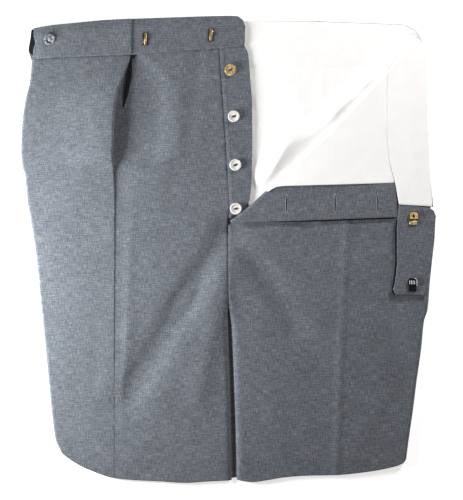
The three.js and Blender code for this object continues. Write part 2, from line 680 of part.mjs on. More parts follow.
// Waistband of the closed right half: the side length lies a step higher than the front length.
const bandHeight = (raise) => (x, y, u, v) =>
  BAND_MID + raise - BAND_TOP_FALL * smooth(4 * v - 3) -
  BAND_SIDE_FALL * smooth((BAND_SIDE_FROM - x) / BAND_SIDE_WIDTH);
function sideBand() {
  return clothWall(patch({
    bottom: [[-234, 505.6], [-205, 508.1], [-116.4, 511.1]],
    top: [[-233, 542], [-210, 545.6], [-171.6, 549.4], [-150, 551.5], [-116.4, 553.2]],
    left: [[-234, 505.6], [-233, 519], [-230.6, 524], [-233, 534], [-233, 542]],
    right: [[-116.4, 511.1], [-116.4, 553.2]],
    columns: [0, 0.03, 0.07, 0.12, 0.3, 0.5, 0.7, 0.9, 1],
    rows: [0, 0.35, 0.7, 0.86, 1],
    height: bandHeight(SIDE_BAND_RAISE),
  }), BAND_WALL);
}
function frontBand() {
  return clothWall(patch({
    bottom: [[-116, 511.1], [-56, 515.1], [-21, 517.6], [19.2, 521]],
    top: [[-116, 553.1], [-33.6, 556], [4, 556.8], [12, 556.2], [17.6, 552.4], [20.4, 545]],
    left: [[-116, 511.1], [-116, 553.1]],
    right: [[19.2, 521], [20.4, 545]],
    columns: [0, 0.2, 0.4, 0.6, 0.78, 0.84, 0.9, 0.95, 1],
    rows: [0, 0.35, 0.7, 0.86, 1],
    height: bandHeight(0),
  }), BAND_WALL);
}

// Button stand of the fly, sewn to the right front and lying over the open back. At its lower end
// it dips under the turned corner.
const UNDERLAP_SEAM = [[1.3, 315],
  ...RIGHT_CENTRE.filter((row) => row.y >= 322).map((row) => [row.x + UNDERLAP_INSET, row.y])];
const TUCK_FROM = 5;
const TUCK_RUN = 6;
const TIP_WAY = new THREE.Vector2(24, 19.5).normalize();
function underlapHeight(x, y, u) {
  const outsideFold = (y - FOLD_TIP[1]) * TIP_WAY.x - (x - FOLD_TIP[0]) * TIP_WAY.y;
  const free = mix(FRONT_MID, UNDERLAP_EDGE_MID, smooth(u));
  return mix(free, UNDERLAP_TUCKED_MID, smooth((TUCK_FROM - outsideFold) / TUCK_RUN));
}
function underlap() {
  return clothWall(patch({
    bottom: [UNDERLAP_SEAM[0], [6.6, 313.6], [19.4, 323]],
    top: [UNDERLAP_SEAM[UNDERLAP_SEAM.length - 1], [4, 519.2], [20, 520.6]],
    left: UNDERLAP_SEAM,
    right: [[19.4, 323], [25.6, 336], [27.6, 352], [28.4, 376], [28.8, 416], [28.4, 456], [24, 512],
      [20, 520.6]],
    columns: [0, 0.12, 0.4, 0.7, 0.9, 1],
    rows: [0, 0.02, 0.04, 0.06, 0.08, 0.11, 0.16, 0.24, 0.34, 0.46, 0.58, 0.7, 0.8, 0.88, 0.95, 1],
    height: underlapHeight,
  }), CLOTH);
}

// A closed geometry as a solid, and a solid back as a geometry.
function toSolid(geometry) {
  const bare = geometry.clone();
  bare.deleteAttribute("normal");
  bare.deleteAttribute("uv");
  const merged = mergeVertices(bare, 1e-4);
  return new wasm.Manifold(new wasm.Mesh({
    numProp: 3,
    vertProperties: merged.attributes.position.array,
    triVerts: new Uint32Array(merged.index.array),
  }));
}
function fromSolid(solid) {
  const mesh = solid.getMesh();
  const geometry = new THREE.BufferGeometry();
  geometry.setAttribute("position", new THREE.BufferAttribute(mesh.vertProperties, 3));
  geometry.setIndex(new THREE.BufferAttribute(mesh.triVerts, 1));
  geometry.computeVertexNormals();
  return geometry;
}

// Round button with a raised rim, a dished middle and two sewing holes.
function button(diameter) {
  const r = diameter / 2;
  const profile = [[0, 0], [r * 0.78, 0], [r, BUTTON_THICK * 0.45], [r * 0.97, BUTTON_THICK * 0.85],
    [r * 0.84, BUTTON_THICK], [r * 0.62, BUTTON_THICK * 0.72], [0, BUTTON_THICK * 0.66]];
  const disc = new THREE.LatheGeometry(profile.map(([x, y]) => new THREE.Vector2(x, y)), 20);
  disc.rotateX(Math.PI / 2);
  let solid = toSolid(disc);
  for (const side of [-0.5, 0.5]) {
    const hole = new THREE.CylinderGeometry(BUTTON_HOLE / 2, BUTTON_HOLE / 2, BUTTON_THICK * 3, 8);
    hole.rotateX(Math.PI / 2);
    hole.translate(0, side * BUTTON_HOLE_PITCH, 0);
    solid = solid.subtract(toSolid(hole));
  }
  return fromSolid(solid);
}

// Bar that a hook catches: two flat feet and a raised bridge.
function bandBar() {
  const half = BAR_LENGTH / 2;
  const inner = half - BAR_FOOT;
  const shoulder = BAR_SHEET + 0.4;
  const outline = [[half, 0], [half, BAR_SHEET], [inner, shoulder], [inner - shoulder, BAR_TOP],
    [shoulder - inner, BAR_TOP], [-inner, shoulder], [-half, BAR_SHEET], [-half, 0], [-inner, 0],
    [1 - inner, BAR_GAP], [inner - 1, BAR_GAP], [inner, 0]];
  const shape = new THREE.Shape(outline.map(([x, y]) => new THREE.Vector2(x, y)));
  const bar = new THREE.ExtrudeGeometry(shape, { depth: BAR_WIDTH, bevelEnabled: false });
  bar.translate(0, 0, -BAR_WIDTH / 2);
  bar.rotateX(Math.PI / 2);
  bar.rotateZ(Math.PI / 2);
  return bar;
}

// Flat trouser hook: a thin base, a round-topped plate with a drop-shaped hole, and a lip.
function hook() {
  const half = HOOK_WIDTH / 2;
  const inner = half - HOOK_CORNER;
  const plate = new THREE.Shape();
  plate.moveTo(-half, 0);
  plate.lineTo(half, 0);
  plate.lineTo(half, HOOK_SHOULDER);
  plate.absarc(inner, HOOK_SHOULDER, HOOK_CORNER, 0, Math.PI / 2, false);
  plate.lineTo(-inner, HOOK_SHOULDER + HOOK_CORNER);
  plate.absarc(-inner, HOOK_SHOULDER, HOOK_CORNER, Math.PI / 2, Math.PI, false);
  const drop = new THREE.Path();
  drop.moveTo(0, 7.4);
  drop.lineTo(-1.2, 4.4);
  drop.absarc(0, 3.9, 1.3, Math.PI * 0.9, Math.PI * 2.1, false);
  plate.holes.push(drop);
  const options = { depth: HOOK_SHEET, bevelEnabled: false, curveSegments: 4 };
  const top = new THREE.ExtrudeGeometry(plate, options);
  top.translate(0, 0, HOOK_BASE - 0.2);
  const base = new THREE.BoxGeometry(HOOK_WIDTH - 1.6, 16, HOOK_BASE);
  base.translate(0, 1, HOOK_BASE / 2);
  const lip = new THREE.BoxGeometry(HOOK_WIDTH - 2, 4.4, HOOK_LIP);
  lip.translate(-0.4, -4, HOOK_LIP);
  return fromSolid(toSolid(base).add(toSolid(top)).add(toSolid(lip)));
}

const group = new THREE.Group();

// Adds one named piece with its own finish.
function add(name, geometry, color, roughness = 0.9, metalness = 0) {
  const material = new THREE.MeshStandardMaterial({ color, roughness, metalness });
  const mesh = new THREE.Mesh(geometry, material);
  mesh.name = name;
  group.add(mesh);
  return mesh;
}

add("back_right", backPanel({
  side: RIGHT_SIDE, centre: BACK_CENTRE_RIGHT, hem: RIGHT_HEM, waist: BACK_WAIST, inset: BACK_HEM_INSET,
}), WOOL);
add("back_left", backPanel({
  side: LEFT_SIDE, centre: BACK_CENTRE_LEFT, hem: LEFT_HEM, waist: BACK_WAIST, inset: BACK_HEM_INSET,
}), WOOL);
add("waistband_back", backBand(), WOOL);
add("back_lining", backLining(), WHITE_LINING);
add("waistband_back_lining", backBandLining(), WHITE_LINING);
add("front_right", clothWall(rightFrontGrid(), CLOTH, hemExtra), WOOL);
add("waistband_right_side", sideBand(), WOOL);
add("waistband_right_front", frontBand(), WOOL);
add("fly_underlap", underlap(), WOOL);
add("front_left", leftFront(), WOOL);
add("front_left_lining", leftLining(), WHITE_LINING);
add("waistband_left", leftBand(), WOOL);
add("waistband_left_lining", leftBandLining(), WHITE_LINING);
add("fly_facing", flyFacing(), WOOL);
add("waistband_tab", bandTab(), WOOL);

FLY_BUTTONS.forEach((row, i) => {
  const mesh = add(`fly_button_${i + 1}`, button(FLY_BUTTON), row.colour, 0.3);
  mesh.position.set(row.x, row.y, FRONT_MID + CLOTH / 2 + SEAM / 2);
  mesh.rotation.z = THREE.MathUtils.degToRad(row.turn);
});
const bandButton = add("waistband_button", button(BAND_BUTTON), GREY_PEARL, 0.3);
bandButton.position.set(-214.2, 528.6, BAND_MID + SIDE_BAND_RAISE + BAND_WALL / 2 + SEAM);
BAND_BARS.forEach((row, i) => {
  const mesh = add(`hook_bar_${i + 1}`, bandBar(), BRASS, 0.35, 1);
  mesh.position.set(row.x, row.y, BAND_MID + BAND_WALL / 2 + SEAM);
});
HOOKS.forEach((row, i) => {
  const mesh = add(`hook_${i + 1}`, hook(), row.colour, 0.35, 1);
  mesh.position.set(row.x, row.y, lyingMid(row.x, row.y) + TAB_LIFT + TAB_WALL / 2 + SEAM);
});

// The origin is under the middle of the garment's box, on the surface.
group.updateMatrixWorld(true);
const box = new THREE.Box3().setFromObject(group, true);
const middle = box.getCenter(new THREE.Vector3());
group.position.set(-middle.x, -middle.y, -box.min.z);

export default group;
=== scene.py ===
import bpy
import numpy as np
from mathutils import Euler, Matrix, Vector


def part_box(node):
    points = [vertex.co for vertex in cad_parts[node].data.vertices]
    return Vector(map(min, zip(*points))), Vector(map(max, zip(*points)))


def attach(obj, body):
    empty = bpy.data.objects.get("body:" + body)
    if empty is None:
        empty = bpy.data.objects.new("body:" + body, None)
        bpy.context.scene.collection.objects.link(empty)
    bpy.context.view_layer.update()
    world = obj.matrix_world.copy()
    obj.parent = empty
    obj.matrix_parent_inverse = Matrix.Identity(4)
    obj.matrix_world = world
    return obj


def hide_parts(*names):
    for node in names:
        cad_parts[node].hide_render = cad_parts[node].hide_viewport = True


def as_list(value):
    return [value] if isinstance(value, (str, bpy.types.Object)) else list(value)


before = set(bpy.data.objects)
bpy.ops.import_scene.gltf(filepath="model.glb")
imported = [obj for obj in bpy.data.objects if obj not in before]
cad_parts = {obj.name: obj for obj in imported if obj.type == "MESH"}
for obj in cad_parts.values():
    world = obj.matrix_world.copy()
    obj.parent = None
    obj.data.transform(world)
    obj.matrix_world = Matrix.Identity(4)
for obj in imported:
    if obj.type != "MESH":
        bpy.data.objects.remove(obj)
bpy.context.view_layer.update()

# %% [markdown]
# # Grey wool shorts, laid flat with the fly open
# The solids of the part are plain walls of cloth. This lesson gives each of them its visible
# form: the same walls with finer folds, soft edges, woven cloth and sewing. It starts with the
# box of the solids, which the finished model keeps to within a few millimetres.

# %% [markdown]
# All sizes below are in millimetres: x runs from the wearer's right (-) to the left (+), y from
# the hems to the waist, and z is the height above the table. The part's own origin lies under
# the middle of its box, so one known piece, a bar on the waistband, gives the shift.

# %% From the pattern's millimetres to the scene
low_corner, high_corner = (np.array(corner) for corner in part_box("hook_bar_1"))
shift = (low_corner + high_corner)[:2] / 2 - np.array([-99, 529]) * 0.001


def in_scene(points):
    """Points in the pattern's millimetres as metres in the scene."""
    points = np.asarray(points, float)
    moved = points * 0.001
    moved[..., :2] += shift
    return moved


print("the pattern's origin lies at", shift.round(4))

# %% [markdown]
# A garment's outline is drawn from a few measured points. The reader below turns such a table
# into a smooth curve that never swings past its points: each slope is the harmonic mean of its
# neighbours.

# %% Reading a table smoothly


def line_through(rows, column=1):
    """A function that reads a column of the table at any place on its first column."""
    rows = np.array(rows, float)
    keys, values = rows[:, 0], rows[:, column]
    between = np.diff(values) / np.diff(keys)
    slope = np.concatenate([between[:1], np.zeros(len(keys) - 2), between[-1:]])
    before, after = between[:-1], between[1:]
    same_way = before * after > 0
    total = np.where(same_way, before + after, 1)
    slope[1:-1] = np.where(same_way, 2 * before * after / total, 0)

    def at(place):
        place = np.clip(place, keys[0], keys[-1])
        i = np.clip(np.searchsorted(keys, place, side="right") - 1, 0, len(keys) - 2)
        span = keys[i + 1] - keys[i]
        t = (place - keys[i]) / span
        keep = 1 + t * t * (2 * t - 3)
        bend = span * t * (1 - t) * (slope[i] * (1 - t) - slope[i + 1] * t)
        return keep * values[i] + (1 - keep) * values[i + 1] + bend

    return at


def mix(a, b, t):
    return a + (b - a) * t


def smooth(t):
    t = np.clip(t, 0, 1)
    return t * t * (3 - 2 * t)


print("halfway between 0 and 10:", line_through([[0, 0], [1, 10]])(0.5))

# %% [markdown]
# The outline of both legs. The sides swell at the hip, the hems run slightly uneven, and the
# wearer's left front ends at a slanting fold, where its top corner turns over.

# %% The outline
right_side = line_through([
    [20, -190], [36, -202], [48, -207.5], [76, -211.5], [116, -215.5], [156, -219.5],
    [196, -223.5], [216, -225.5], [256, -229.5], [300, -235.5], [336, -241.5], [364, -243.8],
    [378, -247.6], [396, -248.8], [424, -247.6], [456, -243.6], [480, -237.8], [508, -235.5]])
right_centre_rows = [
    [0, 4.5], [60, 3.5], [120, 2], [180, 0.2], [216, -0.3], [309, -0.3], [322, 1.8], [390, -2.4],
    [440, -5.9], [480, -8.8], [518, -11.3]]
right_centre = line_through(right_centre_rows)
right_hem = line_through([
    [-203, 36], [-198, 31], [-186, 22], [-166, 12], [-138, 3], [-114, 0.5], [-82, -1.2],
    [-50, -3], [-26, -1.4], [5, 0]])
right_waist = line_through([
    [-236, 505], [-205, 507.5], [-120, 510.5], [-56, 514.5], [-21, 517], [-11, 518]])
left_side = line_through([
    [28, 214.5], [56, 218.4], [84, 222.4], [116, 226.4], [156, 232], [190, 235.5], [204, 239.8],
    [236, 242.4], [272, 246.2], [288, 248], [303, 248.6], [325, 243.5], [426, 237.5], [486, 236],
    [505, 235.5]])
left_centre = line_through([
    [0, 10.5], [60, 9], [120, 7], [180, 4], [216, 0.3], [300, 0.3], [309, 0.4]])
left_hem = line_through([
    [9, 0.5], [30, -2], [46, 0], [66, 3.4], [94, 5.6], [130, 6.4], [166, 10], [198, 16],
    [210, 20.5], [216, 29]])
left_crease = line_through([[0, 130], [150, 135], [300, 142], [500, 150]])
print("the legs are", round(float(left_side(60) - right_side(60))), "mm across near the hems")

# %% [markdown]
# The cloth's thickness and the heights of its layers. The back lies on the table, the front
# lies over it, and the turned corner lies on the front. Then come the small sizes of the
# front's edges: its rolls, its turned-up hem, the puckers under the band and the crease.

# %% Thicknesses and heights
CLOTH = 1.0
BACK_WALL = 1.2
BAND_WALL = 1.6
TAB_WALL = 2.2
FRONT_MID = 5.4
FRONT_LOWEST = 2.2
EDGE_MID = 1.75
LINING_MID = 1.75
CURTAIN_MID = 2.5
BAND_MID = 5.6
UNDERLAP_EDGE_MID = 4.7
UNDERLAP_TUCKED_MID = 2.0
LYING_MID = 5.8
TURNED_LIFT = 1.4
LINING_LIFT = 2.8
LINING_UNDER = 1.6
TAB_LIFT = 2.6
FOLD_LIMB = 9
print("the folded corner is about", LYING_MID + LINING_LIFT + CLOTH, "mm high")

SIDE_ROLL = 2.5
SEAM_ROLL = 3
SEAM_DIP = 0.6
INSEAM_ROLL = 7
HEM_DEPTH = 40
HEM_SLOPE = 6
HEM_EXTRA = 0.9
HEM_FALL = 0.9
HEM_FALL_DEPTH = 30
PUCKER = 0.22
PUCKER_WAVE = 2.3
PUCKER_REACH = 16
BAND_DIP = 0.7
BAND_DIP_REACH = 3
CREASE = 0.9
CREASE_HALF = 7
print("the hem is turned up", HEM_DEPTH, "mm")

# %% [markdown]
# Folds are soft troughs and ridges that a person could place by hand: each row gives a line, its
# width and its height. A bell curve across the line makes the slope, and the ends fade out. The
# first table holds the large folds of the solids and the later ones the small creases.

# %% Folds


def folds_at(rows, x, y):
    """The height that a table of folds adds at each place."""
    total = np.zeros(np.broadcast(x, y).shape)
    for from_x, from_y, to_x, to_y, width, height in rows:
        run = np.array([to_x - from_x, to_y - from_y], float)
        length = np.hypot(*run)
        run /= length
        along = (x - from_x) * run[0] + (y - from_y) * run[1]
        across = (x - from_x) * run[1] - (y - from_y) * run[0]
        past = np.maximum(0, np.maximum(-along, along - length))
        total = total + height * np.exp(-((across / width) ** 2) - (past / (1.6 * width)) ** 2)
    return total


large_folds = [
    [-4, 296, -50, 216, 14, -2.0], [-50, 216, -122, 96, 17, -2.3], [-10, 240, -70, 120, 26, 1.2],
    [-36, 508, -46, 410, 9, -0.8], [-90, 470, -96, 380, 14, -0.8], [-120, 384, -121, 180, 8, 0.7],
    [-121, 180, -129, 64, 7, 0.7], [6, 292, 44, 250, 12, -1.7], [44, 250, 78, 192, 15, -1.6],
    [98, 300, 150, 272, 12, -1.0], [190, 250, 214, 120, 16, -0.8], [30, 180, 60, 60, 20, 0.8],
    [-190, 420, -200, 160, 30, 0.7]]
small_folds = [
    [-226, 430, -180, 418, 6, 0.22], [-214, 300, -170, 320, 9, -0.25], [-60, 330, -18, 300, 6, 0.22],
    [-20, 300, -64, 262, 5, -0.3], [-150, 220, -160, 120, 8, -0.25], [-96, 60, -60, 40, 9, -0.3],
    [-70, 420, -62, 340, 7, -0.3], [-190, 100, -150, 60, 10, 0.3], [40, 300, 66, 270, 6, -0.25],
    [90, 200, 110, 120, 8, -0.25], [180, 90, 150, 40, 9, 0.3], [60, 110, 84, 40, 9, -0.25],
    [220, 280, 190, 268, 7, 0.22], [12, 210, 30, 150, 6, -0.3], [-12, 190, -30, 130, 6, 0.25],
    [-4, 296, -50, 216, 12, -1.2], [-50, 216, -108, 119, 14, -1.6], [-8, 232, -34, 110, 16, 2.0],
    [6, 292, 44, 250, 10, -0.8], [44, 250, 78, 192, 12, -1.0], [98, 300, 150, 272, 10, -0.7],
    [-111, 502, -119, 454, 4, 1.0], [26, 309.6, 196, 312.6, 2.4, -1.0], [196.6, 236, 201, 308, 2.4, -0.8],
    [202, 220.6, 236, 220, 2.2, -1.2], [-78, 436, -86, 392, 38, 3.0]]
turned_folds = [
    [80, 352, 120, 380, 14, 0.4], [120, 410, 180, 400, 10, 0.4], [150, 440, 190, 430, 12, 0.3],
    [215, 500, 222, 380, 12, 0.4]]
lining_folds = [
    [24, 486, 34, 452, 4, 0.5], [26, 440, 31, 392, 4, 0.5], [112, 480, 112, 440, 4, 0.5],
    [150, 492, 120, 500, 6, 0.4], [70, 486, 92, 440, 8, 0.4]]
print(len(large_folds) + len(small_folds), "folds shape the two fronts")

# %% [markdown]
# Cloth that has been worn is never quite even. A random height field, smoothed between the
# points of a coarse grid, gives a slow ripple and a fine one. The seed is fixed, so that each
# run draws the same cloth.

# %% Ripples
random_heights = np.random.default_rng(7).uniform(-1, 1, (96, 96))


def ripple(x, y, wave, offset=0):
    """Even random heights from -1 to 1, with about one wave in the given length."""
    a, b = x / wave + 31.7 + offset, y / wave + 17.3 - offset
    i, j = np.floor(a).astype(int), np.floor(b).astype(int)
    s, t = smooth(a - i), smooth(b - j)
    heights = random_heights
    near = mix(heights[i % 96, j % 96], heights[(i + 1) % 96, j % 96], s)
    far = mix(heights[i % 96, (j + 1) % 96], heights[(i + 1) % 96, (j + 1) % 96], s)
    return mix(near, far, t)


def front_mid(x, y):
    """Middle height of the front cloth, before its edges roll down."""
    x, y = np.broadcast_arrays(np.asarray(x, float), np.asarray(y, float))
    below_band = right_waist(x) - y
    wave = np.sin(x / PUCKER_WAVE + 2 * ripple(x, y, 60))
    pucker = PUCKER * wave * np.exp(-((below_band / PUCKER_REACH) ** 2))
    seam = -BAND_DIP * np.exp(-((below_band / BAND_DIP_REACH) ** 2))
    fine = 0.16 * ripple(x, y, 44) + 0.07 * ripple(x, y, 17, 5)
    folded = folds_at(large_folds, x, y) + folds_at(small_folds, x, y)
    hem_fall = HEM_FALL * (1 - smooth(y / HEM_FALL_DEPTH))
    height = FRONT_MID + folded + fine + pucker + seam - hem_fall
    return FRONT_LOWEST + np.logaddexp(0, 3 * (height - FRONT_LOWEST)) / 3


def left_mid(x, y):
    """The same for the wearer's left front, with its pressed crease."""
    from_crease = np.abs(x - left_crease(y))
    return front_mid(x, y) + CREASE * np.maximum(0, 1 - from_crease / CREASE_HALF)


def lying_mid(x, y):
    """The height that the turned corner's layers are lifted from."""
    return LYING_MID + folds_at(turned_folds, x, y) + 0.12 * ripple(x, y, 36, 9)


print("the front is", front_mid(-150.0, 250.0).round(2), "mm up at one place")

# %% [markdown]
# Every piece of cloth is first a grid of points in its middle. This helper makes the grid a
# closed wall: it moves the points half the thickness out on both sides, and joins the two sheets
# by a half-round rim, because real edges are turned or pressed and never sharp. It also stores
# a flat map in metres, so that the weave keeps its size where the cloth bends.

# %% A wall of cloth from a grid


def unit(vectors):
    return vectors / np.maximum(np.linalg.norm(vectors, axis=-1, keepdims=True), 1e-9)


def flat_map(grid):
    """Places of the grid's points on the flat cloth: length along each path, from its far end."""
    step = np.diff(grid, axis=1)
    way = unit(grid[:, -1, :2] - grid[:, 0, :2])[:, None]
    hidden = np.linalg.norm(step, axis=-1) - (step[..., :2] * way).sum(-1)
    rest = np.concatenate([np.cumsum(hidden[:, ::-1], axis=1)[:, ::-1], np.zeros((len(grid), 1))], axis=1)
    return grid[..., :2] - way * rest[..., None]


def wall_parts(grid, thickness, extra_below=None):
    """Points, faces and map places of a closed wall round the grid."""
    rows, columns = grid.shape[:2]
    normal = unit(np.cross(np.gradient(grid, axis=1), np.gradient(grid, axis=0)))
    top = grid + normal * thickness / 2
    bottom = grid - normal * thickness / 2
    if extra_below is not None:
        bottom[..., 2] -= extra_below
    index = np.arange(rows * columns).reshape(rows, columns)
    a, b, c, d = index[:-1, :-1], index[:-1, 1:], index[1:, 1:], index[1:, :-1]
    upper = np.stack([a, b, c, d], -1).reshape(-1, 4)
    lower = np.stack([d, c, b, a], -1).reshape(-1, 4) + rows * columns

    def round_border(grid_index):
        first, last = grid_index[0, :-1], grid_index[:-1, -1]
        return np.concatenate([first, last, grid_index[-1, :0:-1], grid_index[:0:-1, 0]])

    border = round_border(index)
    inner_index = index.copy()
    inner_index[0], inner_index[-1] = index[1], index[-2]
    inner_index[:, 0], inner_index[:, -1] = inner_index[:, 1], inner_index[:, -2]
    inner = round_border(inner_index)
    flat_grid, flat_top, flat_bottom = (p.reshape(-1, 3) for p in (grid, top, bottom))
    outward = unit(flat_grid[border] - flat_grid[inner])
    half = (flat_top[border] - flat_bottom[border]) / 2
    middle = (flat_top[border] + flat_bottom[border]) / 2
    reach = np.linalg.norm(half, axis=-1, keepdims=True)
    rings = [middle + half * np.cos(t) + outward * reach * 0.8 * np.sin(t)
             for t in np.radians([45, 90, 135])]
    points = np.concatenate([flat_top, flat_bottom, *rings])
    count = len(border)
    start = 2 * rows * columns
    chain = [border, *(start + count * k + np.arange(count) for k in range(3)), border + rows * columns]
    faces = [upper, lower]
    for first, second in zip(chain, chain[1:]):
        faces.append(np.stack([second, np.roll(second, -1), np.roll(first, -1), first], -1))
    places = flat_map(grid).reshape(-1, 2)
    places = np.concatenate([places, places, *([places[border]] * 3)])
    return points, np.concatenate(faces), places


def in_view(name, data):
    """A new object with this data, put in the scene."""
    obj = bpy.data.objects.new(name, data)
    bpy.context.collection.objects.link(obj)
    return obj


def cloth(name, walls, material):
    """One piece of cloth from one or more walls."""
    starts = np.cumsum([0, *(len(wall[0]) for wall in walls)])
    points = np.concatenate([wall[0] for wall in walls])
    faces = np.concatenate([wall[1] + start for wall, start in zip(walls, starts)])
    places = np.concatenate([wall[2] for wall in walls])
    mesh = bpy.data.meshes.new(name)
    mesh.from_pydata(in_scene(points).tolist(), [], faces.tolist())
    layer = mesh.uv_layers.new(name="cloth")
    loop_points = np.empty(len(mesh.loops), int)
    mesh.loops.foreach_get("vertex_index", loop_points)
    layer.data.foreach_set("uv", (places[loop_points] * 0.001).ravel())
    mesh.shade_smooth()
    mesh.materials.append(material)
    mesh.update()
    print(name, len(mesh.polygons) * 2, "triangles")
    return in_view(name, mesh)


def one_wall(name, grid, thickness, material):
    return cloth(name, [wall_parts(grid, thickness)], material)

# %% [markdown]
# A piece with four sides is filled between them: a place inside is blended from the two pairs of
# opposite borders. The borders are lines through a few points, read by their length.

# %% Borders, even shares and a filled patch


def border_line(points):
    """A function from 0 to 1 along straight lengths between the points."""
    points = np.array(points, float)
    far = np.concatenate([[0], np.cumsum(np.linalg.norm(np.diff(points, axis=0), axis=1))])
    return lambda t: np.stack([np.interp(np.asarray(t) * far[-1], far, points[:, k]) for k in (0, 1)], -1)


def shares(count, length, edge=0.8):
    """Even shares from 0 to 1 with one more near each end, for a crisp edge."""
    close = edge / length
    return np.concatenate([[0, close], np.linspace(0, 1, count)[1:-1], [1 - close, 1]])


def patch(bottom, top, left, right, columns, rows, height):
    """A grid of points between four borders, with its height worked out from the place."""
    b, t, l, r = (border_line(points) for points in (bottom, top, left, right))
    u, v = columns[None, :, None], rows[:, None, None]
    flat = mix(b(columns)[None], t(columns)[None], v) + mix(l(rows)[:, None], r(rows)[:, None], u)
    flat = flat - mix(mix(b(0), b(1), u), mix(t(0), t(1), u), v)
    x, y = flat[..., 0], flat[..., 1]
    z = height(x, y, u[..., 0] + 0 * y, v[..., 0] + 0 * x)
    return np.dstack([x, y, z + 0 * x])


print("a share grid:", shares(5, 40).round(3))

# %% [markdown]
# Colours are given as the eye reads them on a screen and turned into light by one function. One
# helper adds a shader node with its settings and links.

# %% Colour and node helpers


def light_of(colour):
    """A hex colour as linear light, with full opacity."""
    parts = [int(colour[i:i + 2], 16) / 255 for i in (1, 3, 5)]
    return [*(c / 12.92 if c <= 0.04045 else ((c + 0.055) / 1.055) ** 2.4 for c in parts), 1.0]


def add_node(tree, kind, inputs=(), **settings):
    """A new node; each input takes a value or another node's output."""
    node = tree.nodes.new(kind)
    for key, value in settings.items():
        setattr(node, key, value)
    for key, value in dict(inputs).items():
        if isinstance(value, bpy.types.NodeSocket):
            tree.links.new(value, node.inputs[key])
        else:
            node.inputs[key].default_value = value
    return node


def new_material(name, **constants):
    """An empty material with its surface shader, whose constant values are set on its sockets."""
    material = bpy.data.materials.new(name)
    material.use_nodes = True
    shader = material.node_tree.nodes["Principled BSDF"]
    for key, value in constants.items():
        shader.inputs[key.replace("_", " ")].default_value = value
    return material, material.node_tree, shader


def ramp(tree, value, stops):
    """A colour ramp read at a value, from places and hex colours."""
    node = add_node(tree, "ShaderNodeValToRGB", {"Fac": value})
    while len(node.color_ramp.elements) < len(stops):
        node.color_ramp.elements.new(0.5)
    for element, (place, colour) in zip(node.color_ramp.elements, stops):
        element.position = place
        element.color = light_of(colour)
    return node.outputs["Color"]


def clouded(name, scale, stops, detail=2.0, distortion=0.0, **constants):
    """A material whose colours drift in soft clouds; the scale counts clouds in a metre."""
    material, tree, shader = new_material(name, **constants)
    place = add_node(tree, "ShaderNodeTexCoord").outputs["Object"]
    clouds = add_node(tree, "ShaderNodeTexNoise",
                      {"Vector": place, "Scale": scale, "Detail": detail, "Distortion": distortion})
    tree.links.new(ramp(tree, clouds.outputs[0], stops), shader.inputs["Base Color"])
    return material


print("mid grey reflects", round(light_of("#808080")[0], 3), "of the light")

# %% [markdown]
# The wool is a worsted cloth: yarns spun from dark, mid and pale fibres, finely woven and pressed.
# Real yarns are about 0.4 mm, finer than a pixel here, so the mixed fibres are drawn coarser, as
# specks of 1 to 3 mm, with long thin slubs up and across that stand for the yarns.

# %% Grey worsted wool


def specks(tree, place, scale, detail=2.0, stretch=(1, 1, 1)):
    """A noise pattern on the flat cloth; the scale counts features in a metre."""
    moved = add_node(tree, "ShaderNodeMapping", {"Vector": place, "Scale": stretch})
    return add_node(tree, "ShaderNodeTexNoise",
                    {"Vector": moved.outputs[0], "Scale": scale, "Detail": detail,
                     "Roughness": 0.6}).outputs[0]


def woven(tree, shader, colour, height, strength, distance):
    """Gives a cloth's shader its colour and the small heights of its threads."""
    tree.links.new(colour, shader.inputs["Base Color"])
    bump = add_node(tree, "ShaderNodeBump",
                    {"Height": height, "Strength": strength, "Distance": distance})
    tree.links.new(bump.outputs[0], shader.inputs["Normal"])


def worsted(name, dark, middle, pale):
    material, tree, shader = new_material(name, Roughness=0.9, Specular_IOR_Level=0.12)
    place = add_node(tree, "ShaderNodeUVMap", uv_map="cloth").outputs[0]
    fibres = specks(tree, place, 1250)
    slubs_up = specks(tree, place, 850, stretch=(1, 0.14, 1))
    slubs_across = specks(tree, place, 850, stretch=(0.1, 1, 1))
    both = add_node(tree, "ShaderNodeMath", {0: slubs_up, 1: slubs_across}, operation="ADD")
    half = add_node(tree, "ShaderNodeMath", {0: both.outputs[0], 1: 0.25}, operation="MULTIPLY")
    mixed = add_node(tree, "ShaderNodeMath", {0: fibres, 1: 0.5, 2: half.outputs[0]},
                     operation="MULTIPLY_ADD").outputs[0]
    colour = ramp(tree, mixed, [(0.36, dark), (0.5, middle), (0.64, pale)])
    for scale, detail, stops in ((160, 3, [(0.35, "#f6f9ff"), (0.65, "#fffaf4")]),
                                 (28, 2, [(0.3, "#f0f0f0"), (0.7, "#ffffff")])):
        tint = ramp(tree, specks(tree, place, scale, detail), stops)
        colour = add_node(tree, "ShaderNodeMix", {"Factor": 1.0, 6: colour, 7: tint},
                          data_type="RGBA", blend_type="MULTIPLY").outputs[2]
    woven(tree, shader, colour, mixed, 0.4, 0.0008)
    return material


wool = worsted("worsted_wool", "#42464c", "#666b72", "#979ca3")
# A much darker copy of the same wool is painted shade: it colours the strips and slits that stand for places
# in shadow.
wool_painted_shade = worsted("worsted_wool_painted_shade", "#17181b", "#212327", "#2e3136")
print(wool.name, "and", wool_painted_shade.name, "made")

# %% [markdown]
# The lining is a plain white cotton, ironed but a little rumpled. It is nearly as bright as
# paper; a faint weave and soft creases keep it from looking like plastic.

# %% White cotton lining


